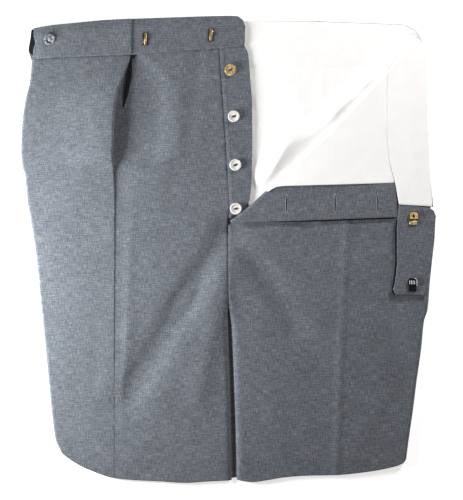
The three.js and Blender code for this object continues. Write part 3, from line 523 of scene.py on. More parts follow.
def cotton(name, colour, bright, weave=900.0):
    material, tree, shader = new_material(name, Roughness=0.75, Sheen_Weight=0.08,
                                          Specular_IOR_Level=0.3)
    place = add_node(tree, "ShaderNodeUVMap", uv_map="cloth").outputs[0]
    tinted = ramp(tree, specks(tree, place, 60, 3), [(0.3, colour), (0.7, bright)])
    up = specks(tree, place, weave, 1, (1, 0.2, 1))
    across = specks(tree, place, weave, 1, (0.2, 1, 1))
    threads = add_node(tree, "ShaderNodeMath", {0: up, 1: across}, operation="ADD")
    height = add_node(tree, "ShaderNodeMath",
                      {0: specks(tree, place, 55), 1: 4.0, 2: threads.outputs[0]},
                      operation="MULTIPLY_ADD").outputs[0]
    woven(tree, shader, tinted, height, 0.3, 0.0004)
    return material


lining = cotton("white_cotton", "#faf9f7", "#fefdfc")
print(lining.name, "made")

# %% [markdown]
# A front is laid out row by row from its hem to its top. In each row the side rolls down in a
# quarter ellipse, as cloth does round a side seam, and the feature lines (side, pleat, crease and
# centre) keep their share of the height. The centre rolls down deep beside the leg gap and only
# a little at the seam.

# %% Places on the feature lines
GAP_TOP = 180
GAP_FADE = 50
roll_turn = np.linspace(0, 0.88, 8) * np.pi / 2
roll_in, roll_rise = 1 - np.cos(roll_turn), np.sin(roll_turn)


def place_on(line, hem, top, share):
    """Where a line from hem to top is at a share of the way up."""
    y = 500 * share
    for _ in range(8):
        x = line(y)
        y = mix(hem(x), top(x), share)
    return float(x), float(y)


def row_at(hem, top, share):
    """Puts points of one row: x and a height that depends on y."""
    def put(x, height):
        x = np.atleast_1d(np.asarray(x, float))
        y = mix(hem(x), top(x), share)
        return np.stack([x, y, height(x, y) + 0 * x], -1)
    return put


def even(first, last, count, ends=True):
    return np.linspace(first, last, count, endpoint=ends)


def side_roll(put, edge, way, mid):
    """The rolled side from its lowest point inwards; the way is 1 or -1 along x."""
    return put(edge + way * (CLOTH / 2 + SIDE_ROLL * roll_in),
               lambda x, y: mix(EDGE_MID, mid(edge + way * SIDE_ROLL, y), roll_rise))


def centre_roll(put, edge, edge_y, way, mid):
    """The rolled centre from its lowest point inwards, and where the flat part starts."""
    drop = float(1 - smooth((edge_y - GAP_TOP) / GAP_FADE))
    width = mix(SEAM_ROLL, INSEAM_ROLL, drop)
    rolled = put(edge + way * (CLOTH / 2 + width * roll_in),
                 lambda x, y: mix(mix(mid(x, y) - SEAM_DIP, EDGE_MID, drop), mid(x, y), roll_rise))
    return rolled, edge + way * (CLOTH / 2 + width + 1)


print("the crease meets the hem at", place_on(left_crease, left_hem, right_waist, 0.0))

# %% [markdown]
# The pleat is a fold of the front cloth. Near the band it turns fully back under itself, so its
# mouth stands open and dark, and lower down it becomes a pressed crease. The table gives for
# some heights where the fold edge and the far lip are, how deep the cloth goes back, how far it
# turns in degrees, how high it stands over the cloth on its one side and over the hollow on its
# other side, and how far the rise to the lip spreads.

# %% The pleat's section
pleat_names = ["fold", "lip", "depth", "turn", "lift", "step", "spread"]
pleat_rows = [
    [0, -136.8, -130, 1, 40, 0.1, 0.3, 5],
    [64, -136.8, -129, 1, 42, 0.15, 0.35, 5],
    [180, -136.6, -126, 1, 46, 0.2, 0.5, 6],
    [280, -136.2, -122, 1, 56, 0.4, 0.8, 8],
    [340, -136.4, -118, 1, 80, 0.9, 1.5, 10],
    [372, -137.8, -114, 2, 120, 2.0, 3.0, 12],
    [380, -138.0, -84, 2, 140, 4.4, 6.4, 14],
    [388, -138.1, -78, 3, 156, 7.6, 10.4, 17],
    [400, -137.6, -76, 4, 166, 8.6, 11.6, 18],
    [436, -135.8, -76, 9, 176, 8.8, 12.1, 18],
    [456, -133.6, -78, 12, 178, 8.4, 11.8, 18],
    [470, -130.7, -80, 13, 179, 7.0, 10.4, 18],
    [486, -124.9, -88, 14, 179, 4.8, 8.2, 15],
    [501, -119.4, -100, 15, 179, 1.6, 5.0, 12],
    [511, -116.8, -108, 15, 179, 0.6, 4.0, 6]]
pleat_line = {name: line_through(pleat_rows, i + 1) for i, name in enumerate(pleat_names)}


def pleat_section(y, middle_height):
    """Its section at a height: two round bends with a straight length between them."""
    row = {name: float(line(y)) for name, line in pleat_line.items()}
    turn = np.radians(row["turn"])
    top_z = middle_height + row["lift"]
    straight = min(row["depth"], 0.36 * row["step"] / max(0.002, np.sin(turn)))
    radius = (row["step"] - straight * np.sin(turn)) / (2 * (1 - np.cos(turn)))
    start_x = row["fold"] - radius
    a = np.linspace(0, turn, 11)
    bend = np.stack([start_x + radius * np.sin(a), top_z - radius * (1 - np.cos(a))], -1)
    back = bend[-1] + straight * np.array([np.cos(turn), -np.sin(turn)])
    run = mix(bend[-1], back, np.linspace(0.2, 0.8, 4)[:, None])
    a = np.linspace(turn, 0, 9)
    low = np.stack([back[0] + radius * (np.sin(turn) - np.sin(a)),
                    back[1] - radius * (np.cos(a) - np.cos(turn))], -1)
    return row, np.concatenate([bend, run, low]), top_z - row["step"]


print("at 456 mm up, the pleat's fold stands", round(float(pleat_line["step"](456)), 1),
      "mm above the hollow beside it")

# %% [markdown]
# The wearer's right front: side roll, hip, pleat, the rise to the lip, and the flat part up to
# the fly seam.

# %% The wearer's right front


def right_front_grid(row_shares):
    grid = []
    for v in row_shares:
        put = row_at(right_hem, right_waist, v)
        side_x, _ = place_on(right_side, right_hem, right_waist, v)
        fold_x, fold_y = place_on(pleat_line["fold"], right_hem, right_waist, v)
        centre_x, centre_y = place_on(right_centre, right_hem, right_waist, v)
        row, section, low_z = pleat_section(fold_y, float(front_mid(fold_x, fold_y)))
        rolled = side_roll(put, side_x, 1, front_mid)
        t = even(0, 1, 34, False)
        near = row["lift"] * smooth((t - 0.3) / 0.7)
        hip = put(mix(side_x + SIDE_ROLL + 1, section[0, 0], t), lambda x, y: front_mid(x, y) + near)
        pleat = put(section[:, 0], lambda x, y: section[:, 1])
        low_x = section[-1, 0]
        rise_from = max(low_x + 1.2, row["lip"] - row["spread"])
        rise_to = max(row["lip"] + row["spread"], rise_from + 5)
        inner = put(mix(low_x, rise_from, np.array([0.3, 0.6])), lambda x, y: low_z)
        s = even(0.06, 0.94, 9)
        lip = put(mix(rise_from, rise_to, s), lambda x, y: mix(low_z, front_mid(x, y), smooth(s)))
        centre, flat_to = centre_roll(put, centre_x, centre_y, -1, front_mid)
        flat = put(mix(rise_to, flat_to, even(0.03, 1, 38)), front_mid)
        grid.append(np.concatenate([rolled, hip, pleat, inner, lip, flat, centre[::-1]]))
    return np.array(grid)


def hem_turning(grid):
    """The turned-up hem makes the cloth thicker below, but not where it rolls down."""
    y, z = grid[..., 1], grid[..., 2]
    thicker = HEM_EXTRA * (1 - smooth((y - HEM_DEPTH + HEM_SLOPE) / HEM_SLOPE))
    return np.where((y < HEM_DEPTH) & (z > FRONT_MID - 1.6), thicker, 0)


def front_walls(grid):
    return wall_parts(grid, CLOTH, hem_turning(grid))


front_right = cloth("cloth_front_right", [front_walls(right_front_grid(shares(176, 510)))], wool)

# %% [markdown]
# The wearer's left front is one cloth that turns over at the slanting fold. The fold line is a
# smooth curve through the edge that shows, moved in by the radius of the outermost layer. Below
# it lies the leg.

# %% The fold and the left leg
fold_outer = (LYING_MID + LINING_LIFT - FRONT_MID + LINING_UNDER + CLOTH) / 2
fold_edge = np.array([
    [3, 310.5], [14.5, 319.8], [27, 330], [38, 340.2], [50, 351.5], [72, 373], [96, 394],
    [120, 416], [152.4, 450.4], [188.4, 488], [205, 509.5], [221.5, 532]])
edge_line = line_through(fold_edge)
fold_edge = fold_edge + fold_outer * np.sqrt(0.5) * np.array([1, -1])


def spline_through(points, count=600):
    """A smooth curve through points, sampled evenly along its length."""
    padded = np.concatenate([points[:1], points, points[-1:]])
    t = np.linspace(0, len(points) - 1, count)
    i = np.minimum(t.astype(int), len(points) - 2)
    s = (t - i)[:, None]
    p0, p1, p2, p3 = (padded[i + k] for k in range(4))
    pull_in, pull_out = (p2 - p0) / 2, (p3 - p1) / 2
    return ((2 * p1 - 2 * p2 + pull_in + pull_out) * s**3
            + (-3 * p1 + 3 * p2 - 2 * pull_in - pull_out) * s**2 + pull_in * s + p1)


fold_curve = border_line(spline_through(fold_edge))
leg_top = line_through([[0, 305.5], *(fold_edge[:10] + [0.7, -0.7]).tolist(),
                        [203, 497.5], [206, 499.5], [237, 499.5]])
corner_line = line_through([[0, 30], [309, 6.6]])


def left_leg_grid(row_shares):
    grid = []
    for v in row_shares:
        put = row_at(left_hem, leg_top, v)
        centre_x, centre_y = place_on(left_centre, left_hem, leg_top, v)
        corner_x, crease_x, side_x = (place_on(line, left_hem, leg_top, v)[0]
                                      for line in (corner_line, left_crease, left_side))
        centre, in_from = centre_roll(put, centre_x, centre_y, 1, left_mid)
        inner = put(mix(in_from, corner_x, even(0, 1, 5, False)), left_mid)
        thigh = put(mix(corner_x, crease_x, even(0, 1, 40, False)), left_mid)
        out_to = side_x - CLOTH / 2 - SIDE_ROLL - 1
        outer = put(mix(crease_x, out_to, even(0, 1, 30)), left_mid)
        rolled = side_roll(put, side_x, -1, left_mid)
        grid.append(np.concatenate([centre, inner, thigh, outer, rolled[::-1]]))
    return np.array(grid)


leg_grid = left_leg_grid(shares(150, 450))
print("the leg's grid is", leg_grid.shape[:2])

# %% [markdown]
# A layer of the turned corner starts as a short limb under the leg, runs in a half circle round
# the fold, and lies out on the leg to its own far edge. All layers share the one fold curve, with
# a little more radius for each layer further out.

# %% A layer that turns over the fold


def fold_share(x):
    """The share of the fold's length at a place on it."""
    t = np.linspace(0, 1, 4000)
    return float(np.interp(x, fold_curve(t)[:, 0], t))


def turned_grid(from_x, to_x, ends, columns, under, lift, out_steps, sides=None):
    """A layer from the part of the fold between two places out to its far edge."""
    first, last = fold_share(from_x), fold_share(to_x)
    start_at = lambda u: fold_curve(np.clip(mix(first, last, u), 0, 1))
    end_at = border_line(ends)
    if sides:
        left, right = (border_line(points) for points in sides)
    grid = []
    for u in columns:
        start, end = start_at(u), end_at(u)
        along = unit(start_at(u + 0.02) - start_at(u - 0.02))
        outward = np.array([along[1], -along[0]])
        limb = min(FOLD_LIMB, np.hypot(*(end - start)) * 0.6)
        under_leg = start + outward * (limb * np.array([1, 0.7, 0.4, 0.15]))[:, None]
        low_z = left_mid(under_leg[:, 0], under_leg[:, 1]) - under
        low = float(left_mid(*start) - under)
        radius = (float(lying_mid(*start)) + lift - low) / 2
        turn = np.linspace(0, np.pi, 15)
        bend = start - outward * (radius * np.sin(turn))[:, None]
        bend_z = low + radius * (1 - np.cos(turn))
        t = np.asarray(out_steps)[:, None]
        out = mix(left(t[:, 0]), right(t[:, 0]), u) if sides else mix(start, end, t)
        out_z = lying_mid(out[:, 0], out[:, 1]) + lift
        flat = np.concatenate([under_leg, bend, out])
        grid.append(np.column_stack([flat, np.concatenate([low_z, bend_z, out_z])]))
    return np.array(grid)


TURNED_WALL = 0.9
out_even = np.linspace(0, 1, 40)[1:] ** 1.15
out_fine = np.linspace(0, 1, 70)[1:]
turned = turned_grid(0, 204.4, [[22, 311.4], [60, 311.8], [109, 312.5], [160, 314.6], [203.2, 316.2],
                                [203.4, 360], [202.8, 420], [203.2, 484]],
                     shares(110, 280), 0, TURNED_LIFT, out_even)
front_left = cloth("cloth_front_left", [front_walls(leg_grid), wall_parts(turned, TURNED_WALL)], wool)

# %% [markdown]
# On the turned corner the inside shows: white lining, the grey facing of the fly along its lower
# edge, and the waistband with its white curtain.

# %% Lining, facing and waistband of the turned corner
front_left_lining = one_wall("cloth_left_lining", turned_grid(
    48.6, 190.6, [[58, 352.6], [109, 354.1], [160, 355.6], [199.5, 356.8], [193.6, 381], [190.6, 410],
                  [190.6, 470]],
    shares(90, 200), LINING_UNDER, LINING_LIFT, out_even), CLOTH, lining)
fly_facing = one_wall("cloth_fly_facing", turned_grid(
    0, 47.2, [[202.8, 315.8], [201.8, 336], [199.4, 356]],
    shares(26, 45), LINING_UNDER, LINING_LIFT, out_fine), CLOTH, wool)
waistband_left = one_wall("cloth_waistband_left", turned_grid(
    205.4, 222.6, [[204.6, 330.2], [246, 328]], shares(22, 40), 0, TURNED_LIFT, out_fine,
    [[[205.4, 508], [203.8, 484], [203.4, 420], [204, 360], [204.6, 330.2]],
     [[222.6, 531], [236.4, 521], [238.2, 486], [239.2, 426], [242.6, 360], [246, 328]]]), CLOTH, wool)
waistband_left_lining = one_wall("cloth_left_curtain", turned_grid(
    191.3, 223, [[204.8, 331], [244.8, 328.6]], shares(26, 50), LINING_UNDER, LINING_LIFT, out_fine,
    [[[191.3, 489], [191.2, 460], [191.3, 410], [194.4, 381], [201, 356], [205.2, 331]],
     [[223, 531], [236.2, 521.4], [238, 486], [239, 426], [242.4, 360], [244.8, 328.6]]]), CLOTH, lining)

# %% [markdown]
# The tab is a sewn and turned strip, thicker than one cloth, with rounded corners.

# %% The tab


def tab_height(x, y, u=0, v=0):
    return lying_mid(x, y) + TAB_LIFT


waistband_tab = one_wall("cloth_tab", patch(
    [[198.6, 229], [199.6, 225.4], [202.4, 223.2], [238, 222.4]],
    [[205, 329.4], [225, 327.4], [241, 325.8], [246.6, 322.6], [248.8, 316.6]],
    [[198.6, 229], [200.4, 236], [203.2, 258], [203.2, 300], [205, 329.4]],
    [[238, 222.4], [240.5, 240], [242.4, 260], [246.8, 290], [248.8, 316.6]],
    shares(26, 40), shares(60, 105), tab_height), TAB_WALL, wool)

# %% [markdown]
# The back lies flat on the table. Most of it is hidden, but its edges show beside the front, and
# its lining shows where the fly is open. The two halves meet at the centre with a small gap.

# %% The back and its waistband
BACK_GAP = 0.4
BACK_HEM_INSET = 2.5
BACK_WAIST_INSET = 0.3
back_waist = line_through([[-236, 504], [-120, 506], [0, 507], [120, 506], [237, 503.5]])


def back_centre(way):
    """The centre edge of one half of the back."""
    rows = [[0, 7.5], [60, 6.3], [120, 4.5], [180, 2.1], [216, 0], [520, 0]]
    return line_through([[y, x + way * BACK_GAP / 2] for y, x in rows])


def back_grid(side, centre, hem):
    grid = []
    for v in shares(80, 500):
        outer = place_on(side, hem, back_waist, v)[0]
        inner = place_on(centre, hem, back_waist, v)[0]
        x = mix(outer, inner, shares(40, 230))
        y = mix(hem(x) + BACK_HEM_INSET, back_waist(x) - BACK_WAIST_INSET, v)
        grid.append(np.stack([x, y, 0 * x + BACK_WALL / 2], -1))
    return np.array(grid)


back_right_grid = back_grid(right_side, back_centre(-1), right_hem)
back_left_grid = back_grid(left_side, back_centre(1), left_hem)[:, ::-1]
back_right = one_wall("cloth_back_right", back_right_grid, BACK_WALL, wool)
back_left = one_wall("cloth_back_left", back_left_grid, BACK_WALL, wool)
waistband_back = one_wall("cloth_waistband_back", patch(
    [[-236, 504.3], [-120, 506.3], [0, 507.3], [120, 506.3], [236, 503.8]],
    [[-236.4, 540], [-210, 543], [-116, 549], [0, 551.6], [108, 550.8], [212, 547], [227, 539], [235, 524]],
    [[-236, 504.3], [-240, 516], [-237.6, 530], [-236.4, 540]], [[236, 503.8], [235, 524]],
    shares(120, 470), shares(12, 40), lambda x, y, u, v: 0 * x + BACK_WALL / 2), BACK_WALL, wool)

# %% [markdown]
# The white cloth on the back swells along the turned fold. The table gives, for some lengths
# along the fold from its lower end, how high the swell is and how far its crest lies from the
# fold. On its far side it runs out softly, and there its shade falls.

# %% The white lining and curtain of the back
SWELL_START = [50, 351.5]
SWELL_RUN_OUT = 26
CURTAIN_EDGE = 496
CURTAIN_DIP = 0.68
swell_rows = [[-12, 0, 10], [5, 4.2, 10], [30, 7.6, 15], [52, 6.4, 20], [75, 2.2, 13], [100, 1.8, 9],
              [120, 5.0, 10], [140, 3.4, 8], [154, 1.7, 6], [166, 3.4, 7], [182, 2.0, 5], [250, 1.8, 4]]
swell_height, swell_place = line_through(swell_rows), line_through(swell_rows, 2)


def rumpled(x, y):
    """The white cloth's creases: it swells along the turned fold and dips under it."""
    along = (x - SWELL_START[0] + y - SWELL_START[1]) * 0.707
    beside = np.maximum(0, (y - edge_line(x)) * 0.72)
    crest = swell_place(along)
    run_out = 1 - smooth((beside - crest) / SWELL_RUN_OUT)
    swell = swell_height(along) * np.where(beside < crest, beside / crest, run_out)
    return swell + folds_at(lining_folds, x, y) + 0.12 * (1 + ripple(x, y, 22, 3))


def curtain_height(x, y, u, v):
    """The curtain lies on the lining and is pressed thin along its lower edge."""
    return CURTAIN_MID - CURTAIN_DIP * (1 - smooth((y - CURTAIN_EDGE) / 8)) + rumpled(x, y)


back_lining = one_wall("cloth_back_lining", patch(
    [[25, 329], [44, 343], [78, 371], [126, 411], [160, 449], [205, 488]],
    [[13, 497.4], [110, 497.4], [205, 497.4]],
    [[25, 329], [17, 400], [13, 497.4]], [[205, 488], [205, 497.4]],
    shares(80, 190), shares(80, 170), lambda x, y, u, v: LINING_MID + rumpled(x, y)), CLOTH, lining)
waistband_back_lining = one_wall("cloth_back_curtain", patch(
    [[13, 495.6], [110, 495.6], [232, 499]],
    [[14, 551.2], [108, 550], [211, 546.2], [226, 538], [234, 524]],
    [[13, 495.6], [14, 551.2]], [[232, 499], [234, 524]],
    shares(90, 220), shares(22, 50), curtain_height), CLOTH, lining)

# %% [markdown]
# The closed half's waistband is thicker, as it holds a stiff interlining. Its side length lies a
# step over its front length. Its upper border and its outer end fall a little.

# %% The waistband of the closed half
TOP_FALL = 1.3
END_FALL = 2.4
STEP_RISE = 0.9


def band_height(raised):
    """A height function for a length of the band that is raised by so much."""
    def height(x, y, u, v):
        fall = TOP_FALL * smooth((v - 0.75) / 0.25) + END_FALL * smooth((-222 - x) / 12)
        step = raised * smooth((x + 132) / 12)
        return BAND_MID + raised + step - fall + 0.1 * ripple(x, y, 24, 2)
    return height


waistband_right_side = one_wall("cloth_waistband_side", patch(
    [[-234, 505.6], [-205, 508.1], [-116.4, 511.1]],
    [[-233, 542], [-210, 545.6], [-171.6, 549.4], [-150, 551.5], [-116.4, 553.2]],
    [[-234, 505.6], [-233, 519], [-230.6, 524], [-233, 534], [-233, 542]],
    [[-116.4, 511.1], [-116.4, 553.2]],
    shares(60, 118), shares(24, 42), band_height(STEP_RISE)), BAND_WALL, wool)
waistband_right_front = one_wall("cloth_waistband_front", patch(
    [[-116, 511.1], [-56, 515.1], [-21, 517.6], [19.2, 521]],
    [[-116, 553.1], [-33.6, 556], [4, 556.8], [12, 556.2], [17.6, 552.4], [20.4, 545]],
    [[-116, 511.1], [-116, 553.1]], [[19.2, 521], [20.4, 545]],
    shares(70, 136), shares(24, 42), band_height(0)), BAND_WALL, wool)

# %% [markdown]
# The button stand of the fly is sewn to the right front and lies over the open back. Its lower
# end is tucked under the tip of the turned fold.

# %% The button stand
FOLD_TIP = [3, 310.5]
TIP_WAY = [-0.631, 0.776]
UNDERLAP_INSET = 0.75
stand_seam = [[1.3, 315], *([x + UNDERLAP_INSET, y] for y, x in right_centre_rows if y >= 322)]


def stand_height(x, y, u=0, v=0):
    free = mix(FRONT_MID, UNDERLAP_EDGE_MID, smooth(u)) + 0.12 * ripple(x, y, 20, 4)
    outside_fold = (y - FOLD_TIP[1]) * TIP_WAY[1] + (x - FOLD_TIP[0]) * TIP_WAY[0]
    seam = -0.6 * np.exp(-((u / 0.06) ** 2))
    return mix(free + seam, UNDERLAP_TUCKED_MID, smooth((5 - outside_fold) / 6))


fly_underlap = one_wall("cloth_fly_underlap", patch(
    [stand_seam[0], [6.6, 313.6], [19.4, 323]], [stand_seam[-1], [4, 519.2], [20, 520.6]], stand_seam,
    [[19.4, 323], [25.6, 336], [27.6, 352], [28.4, 376], [28.8, 416], [28.4, 456], [24, 512], [20, 520.6]],
    shares(18, 30), shares(90, 205), stand_height), CLOTH, wool)

# %% [markdown]
# Some cloth shows only as a dark shape, because hardly any light reaches it: the inner face of the
# back waistband at the open side, the cloth deep inside the pleat's mouth, and the under layers of
# the tab and of the turned corner, which don't lie tight on the leg. The shade there is painted:
# each is a narrow strip between two borders, in the much darker painted-shade copy of the wool.

# %% Painted shade where little light reaches


def painted_shade_strip(name, border, other, columns, rows, height, thickness):
    """A strip of painted shade between two borders that run the same way."""
    return one_wall(name, patch([border[0], other[0]], [border[-1], other[-1]], border, other,
                                columns, rows, height), thickness, wool_painted_shade)


def painted_shade_along_edge(name, border, inward):
    """A painted-shade strip along an edge, with its other side tucked under the piece."""
    border = np.array(border, float)
    return painted_shade_strip(name, border, border + inward, shares(5, 5), shares(60, 100),
                  lambda x, y, u, v: lying_mid(x, y) + 0.6, 0.5)


# Dark strips of painted shade, in the darker copy of the wool.
in_the_shade = [
    painted_shade_strip("painted_shade_waistband_end", [[-238.6, 513], [-239.8, 517], [-237.2, 530], [-236.2, 541]],
           [[-232.6, 508.6], [-230, 524], [-233, 541.4]], shares(6, 6), shares(16, 32),
           lambda x, y, u, v: 1.7 + 0 * x, 0.6),
    painted_shade_along_edge("painted_shade_tab_edge", [[204, 221.4], [199, 222.6], [196.8, 225.4], [196.6, 230], [198.2, 238],
                                    [200.6, 259], [200.6, 300], [201.6, 312]], [4.4, 1.4]),
    painted_shade_along_edge("painted_shade_corner_edge", [[8, 309.2], [22, 309.4], [60, 309.7], [109, 310.3], [160, 312.4],
                                       [200.4, 313.8]], [0, 4]),
    painted_shade_strip("painted_shade_pleat_mouth", [[-125.8, 448], [-124.8, 462], [-121, 484], [-117.4, 508]],
           [[-125, 448], [-120.6, 462], [-115.6, 484], [-115.2, 508]], shares(5, 4), shares(30, 56),
           lambda x, y, u, v: 3.2 + smooth((y - 450) / 25), 0.4)]

# %% [markdown]
# Stitches repeat along a path, so Geometry Nodes make them: the path is cut into even steps and
# one short thread is put on each, turned along the path, or square to it for a buttonhole. Real
# sewing thread is 0.3 mm; here it is drawn a little thicker so that it shows.

# %% A node tree for stitches


def stitch_tree():
    tree = bpy.data.node_groups.new("stitches", "GeometryNodeTree")
    face = tree.interface
    face.new_socket("Geometry", in_out="INPUT", socket_type="NodeSocketGeometry")
    for name, value in (("Pitch", 0.003), ("Length", 0.002), ("Thickness", 0.0005), ("Turn", 0.0)):
        face.new_socket(name, in_out="INPUT", socket_type="NodeSocketFloat").default_value = value
    face.new_socket("Seed", in_out="INPUT", socket_type="NodeSocketInt").default_value = 3
    face.new_socket("Thread", in_out="INPUT", socket_type="NodeSocketMaterial")
    face.new_socket("Geometry", in_out="OUTPUT", socket_type="NodeSocketGeometry")
    given = add_node(tree, "NodeGroupInput").outputs
    steps = add_node(tree, "GeometryNodeResampleCurve",
                     {"Curve": given["Geometry"], "Length": given["Pitch"]}, mode="LENGTH")
    tangent = add_node(tree, "GeometryNodeInputTangent")
    facing = add_node(tree, "FunctionNodeAlignRotationToVector", {"Vector": tangent.outputs[0]}, axis="X")
    turn = add_node(tree, "ShaderNodeCombineXYZ", {"Z": given["Turn"]})
    turned_way = add_node(tree, "FunctionNodeRotateRotation",
                          {"Rotation": facing.outputs[0], "Rotate By": turn.outputs[0]},
                          rotation_space="LOCAL")
    drawn = add_node(tree, "FunctionNodeRandomValue", {2: 0.85, 3: 1.12, "Seed": given["Seed"]})
    long = add_node(tree, "ShaderNodeMath", {0: drawn.outputs[1], 1: given["Length"]},
                    operation="MULTIPLY")
    size = add_node(tree, "ShaderNodeCombineXYZ",
                    {"X": long.outputs[0], "Y": given["Thickness"], "Z": given["Thickness"]})
    thread = add_node(tree, "GeometryNodeMeshUVSphere", {"Segments": 8, "Rings": 5, "Radius": 0.5})
    put = add_node(tree, "GeometryNodeInstanceOnPoints",
                   {"Points": steps.outputs[0], "Instance": thread.outputs[0],
                    "Rotation": turned_way.outputs[0], "Scale": size.outputs[0]})
    real = add_node(tree, "GeometryNodeRealizeInstances", {"Geometry": put.outputs[0]})
    smooth_shade = add_node(tree, "GeometryNodeSetShadeSmooth", {"Geometry": real.outputs[0]})
    coloured = add_node(tree, "GeometryNodeSetMaterial",
                        {"Geometry": smooth_shade.outputs[0], "Material": given["Thread"]})
    add_node(tree, "NodeGroupOutput", {"Geometry": coloured.outputs[0]})
    return tree


stitches = stitch_tree()
inputs_of = {item.name: item.identifier for item in stitches.interface.items_tree if item.in_out == "INPUT"}
print("the stitch tree takes", list(inputs_of))

# %% [markdown]
# A row of stitches starts as a line of points on the cloth. After the nodes have run, the result
# is kept as a plain mesh. The thread is polyester: smooth, with a small shine.

# %% Rows of stitches
pale_thread = clouded("pale_thread", 2500.0, [(0.3, "#8d9096"), (0.7, "#b4b7bb")],
                      Roughness=0.5, Sheen_Weight=0.2)
dark_thread = clouded("dark_thread", 2500.0, [(0.3, "#2a2a2c"), (0.7, "#414144")],
                      Roughness=0.5, Sheen_Weight=0.2)


def height_line(places, height, spacing=1.5):
    """Even points along straight lengths, each at its height over the table."""
    places = np.array(places, float)
    total = np.linalg.norm(np.diff(places, axis=0), axis=1).sum()
    flat = border_line(places)(np.linspace(0, 1, max(2, int(total / spacing))))
    return np.column_stack([flat, height(flat[:, 0], flat[:, 1]) + 0 * flat[:, 0]])


def curve_through(name, paths, closed=False, **settings):
    """Curve data with straight lengths through places in metres."""
    curve = bpy.data.curves.new(name, "CURVE")
    for key, value in settings.items():
        setattr(curve, key, value)
    for path in paths:
        spline = curve.splines.new("POLY")
        spline.points.add(len(path) - 1)
        for point, place in zip(spline.points, path):
            point.co = (*place, 1)
        spline.use_cyclic_u = closed
    return curve


def shape_of(obj):
    """The object's shape after its modifiers and curve settings, as a plain mesh."""
    return bpy.data.meshes.new_from_object(obj.evaluated_get(bpy.context.evaluated_depsgraph_get()))


def stitch_row(name, points, thread, pitch=2.6, length=1.9, thickness=0.45, turn=0.0):
    """A row of stitches along points in millimetres."""
    path = in_view(name + "_path", curve_through(name, [in_scene(points)], dimensions="3D"))
    nodes = path.modifiers.new("stitches", "NODES")
    nodes.node_group = stitches
    values = {"Pitch": pitch * 0.001, "Length": length * 0.001, "Thickness": thickness * 0.001,
              "Turn": turn, "Seed": len(name), "Thread": thread}
    for key, value in values.items():
        nodes[inputs_of[key]] = value
    bpy.context.view_layer.update()
    mesh = shape_of(path)
    bpy.data.objects.remove(path)
    print(name, len(mesh.polygons), "faces")
    return in_view(name, mesh)


def on_facing(x, y):
    return lying_mid(x, y) + LINING_LIFT + CLOTH / 2 + 0.1


def on_stand(x, y):
    u = np.clip((x - right_centre(y)) / 30, 0, 1)
    return stand_height(x, y, u) + CLOTH / 2 + 0.05


seam_places = [[7.6, 322], [3.4, 390], [0.1, 440], [-2.8, 480], [-5, 516]]
stand_row = stitch_row("stitches_fly_seam", height_line(seam_places, on_stand), dark_thread)

# %% [markdown]
# A buttonhole is a slit edged with close stitches that stand square to it. Three of them lie on
# the fly's facing. The slit is a thin lens of painted shade that stands for its depth.

# %% Buttonholes
buttonhole_places = [(70.4, 343, 319.6), (128.4, 343.6, 320), (179.6, 344, 320.4)]


def oval(x, top, bottom, half_width, height):
    """Points round a long narrow oval."""
    turn = np.linspace(0, 2 * np.pi, 60)
    middle, half = (top + bottom) / 2, (top - bottom) / 2
    flat_x, flat_y = x + half_width * np.sin(turn), middle + half * np.cos(turn)
    return np.column_stack([flat_x, flat_y, height(flat_x, flat_y)])


def lens(x, top, bottom, half_width, height):
    """A grid for a slit, widest in its middle and a little sunk there."""
    t = np.linspace(0, 1, 24)
    y = mix(bottom, top, t)
    width = half_width * np.sqrt(np.clip(1 - (2 * t - 1) ** 2, 0.02, 1))
    columns = [(x - width, 0), (x + 0 * width, -0.05), (x + width, 0)]
    return np.stack([np.stack([place, y, height(place, y) + lift], -1) for place, lift in columns], 1)


buttonholes, slits = [], []
for number, (x, top, bottom) in enumerate(buttonhole_places, 1):
    edge = oval(x, top, bottom, 1.3, on_facing)
    buttonholes.append(stitch_row(f"buttonhole_{number}", edge, pale_thread, 0.75, 1.3, 0.5, np.pi / 2))
    # The slit's lens is painted shade for the depth of the cut.
    slit = lens(x, top - 1.4, bottom + 1.4, 0.6, on_facing)
    slits.append(one_wall(f"slit_{number}", slit, 0.3, wool_painted_shade))

# %% [markdown]
# A button is turned on a lathe: half its outline, given as shares of its radius and height, is
# spun round its axis. The two holes are then drilled with a boolean.

# %% Buttons
BUTTON_HEIGHT = 2.6
HOLE_PLACE = 1.8
HOLE_RADIUS = 0.95
outline_of_button = [[0, 0], [0.78, 0], [0.93, 0.16], [1, 0.45], [1, 0.66], [0.97, 0.85], [0.91, 0.97],
                     [0.84, 1], [0.76, 0.95], [0.68, 0.82], [0.6, 0.73], [0.4, 0.68], [0, 0.66]]


def spun(name, outline, radius, height, material, segments=64):
    """A solid of revolution from shares of a radius and a height, in millimetres."""
    angles = np.linspace(0, 2 * np.pi, segments, endpoint=False)
    rings = [[r * radius * np.cos(a), r * radius * np.sin(a), z * height]
             for r, z in outline[1:-1] for a in angles]
    points = [[0, 0, 0], *rings, [0, 0, outline[-1][1] * height]]
    ring = lambda k: [1 + k * segments + i for i in range(segments)]
    faces = [[0, b, a] for a, b in zip(ring(0), ring(0)[1:] + ring(0)[:1])]
    for k in range(len(outline) - 3):
        low, high = ring(k), ring(k + 1)
        faces += [[low[i], low[(i + 1) % segments], high[(i + 1) % segments], high[i]]
                  for i in range(segments)]
    top, last = len(points) - 1, ring(len(outline) - 3)
    faces += [[a, b, top] for a, b in zip(last, last[1:] + last[:1])]
    mesh = bpy.data.meshes.new(name)
    mesh.from_pydata((np.array(points) * 0.001).tolist(), [], faces)
    mesh.materials.append(material)
    mesh.shade_smooth()
    return in_view(name, mesh)


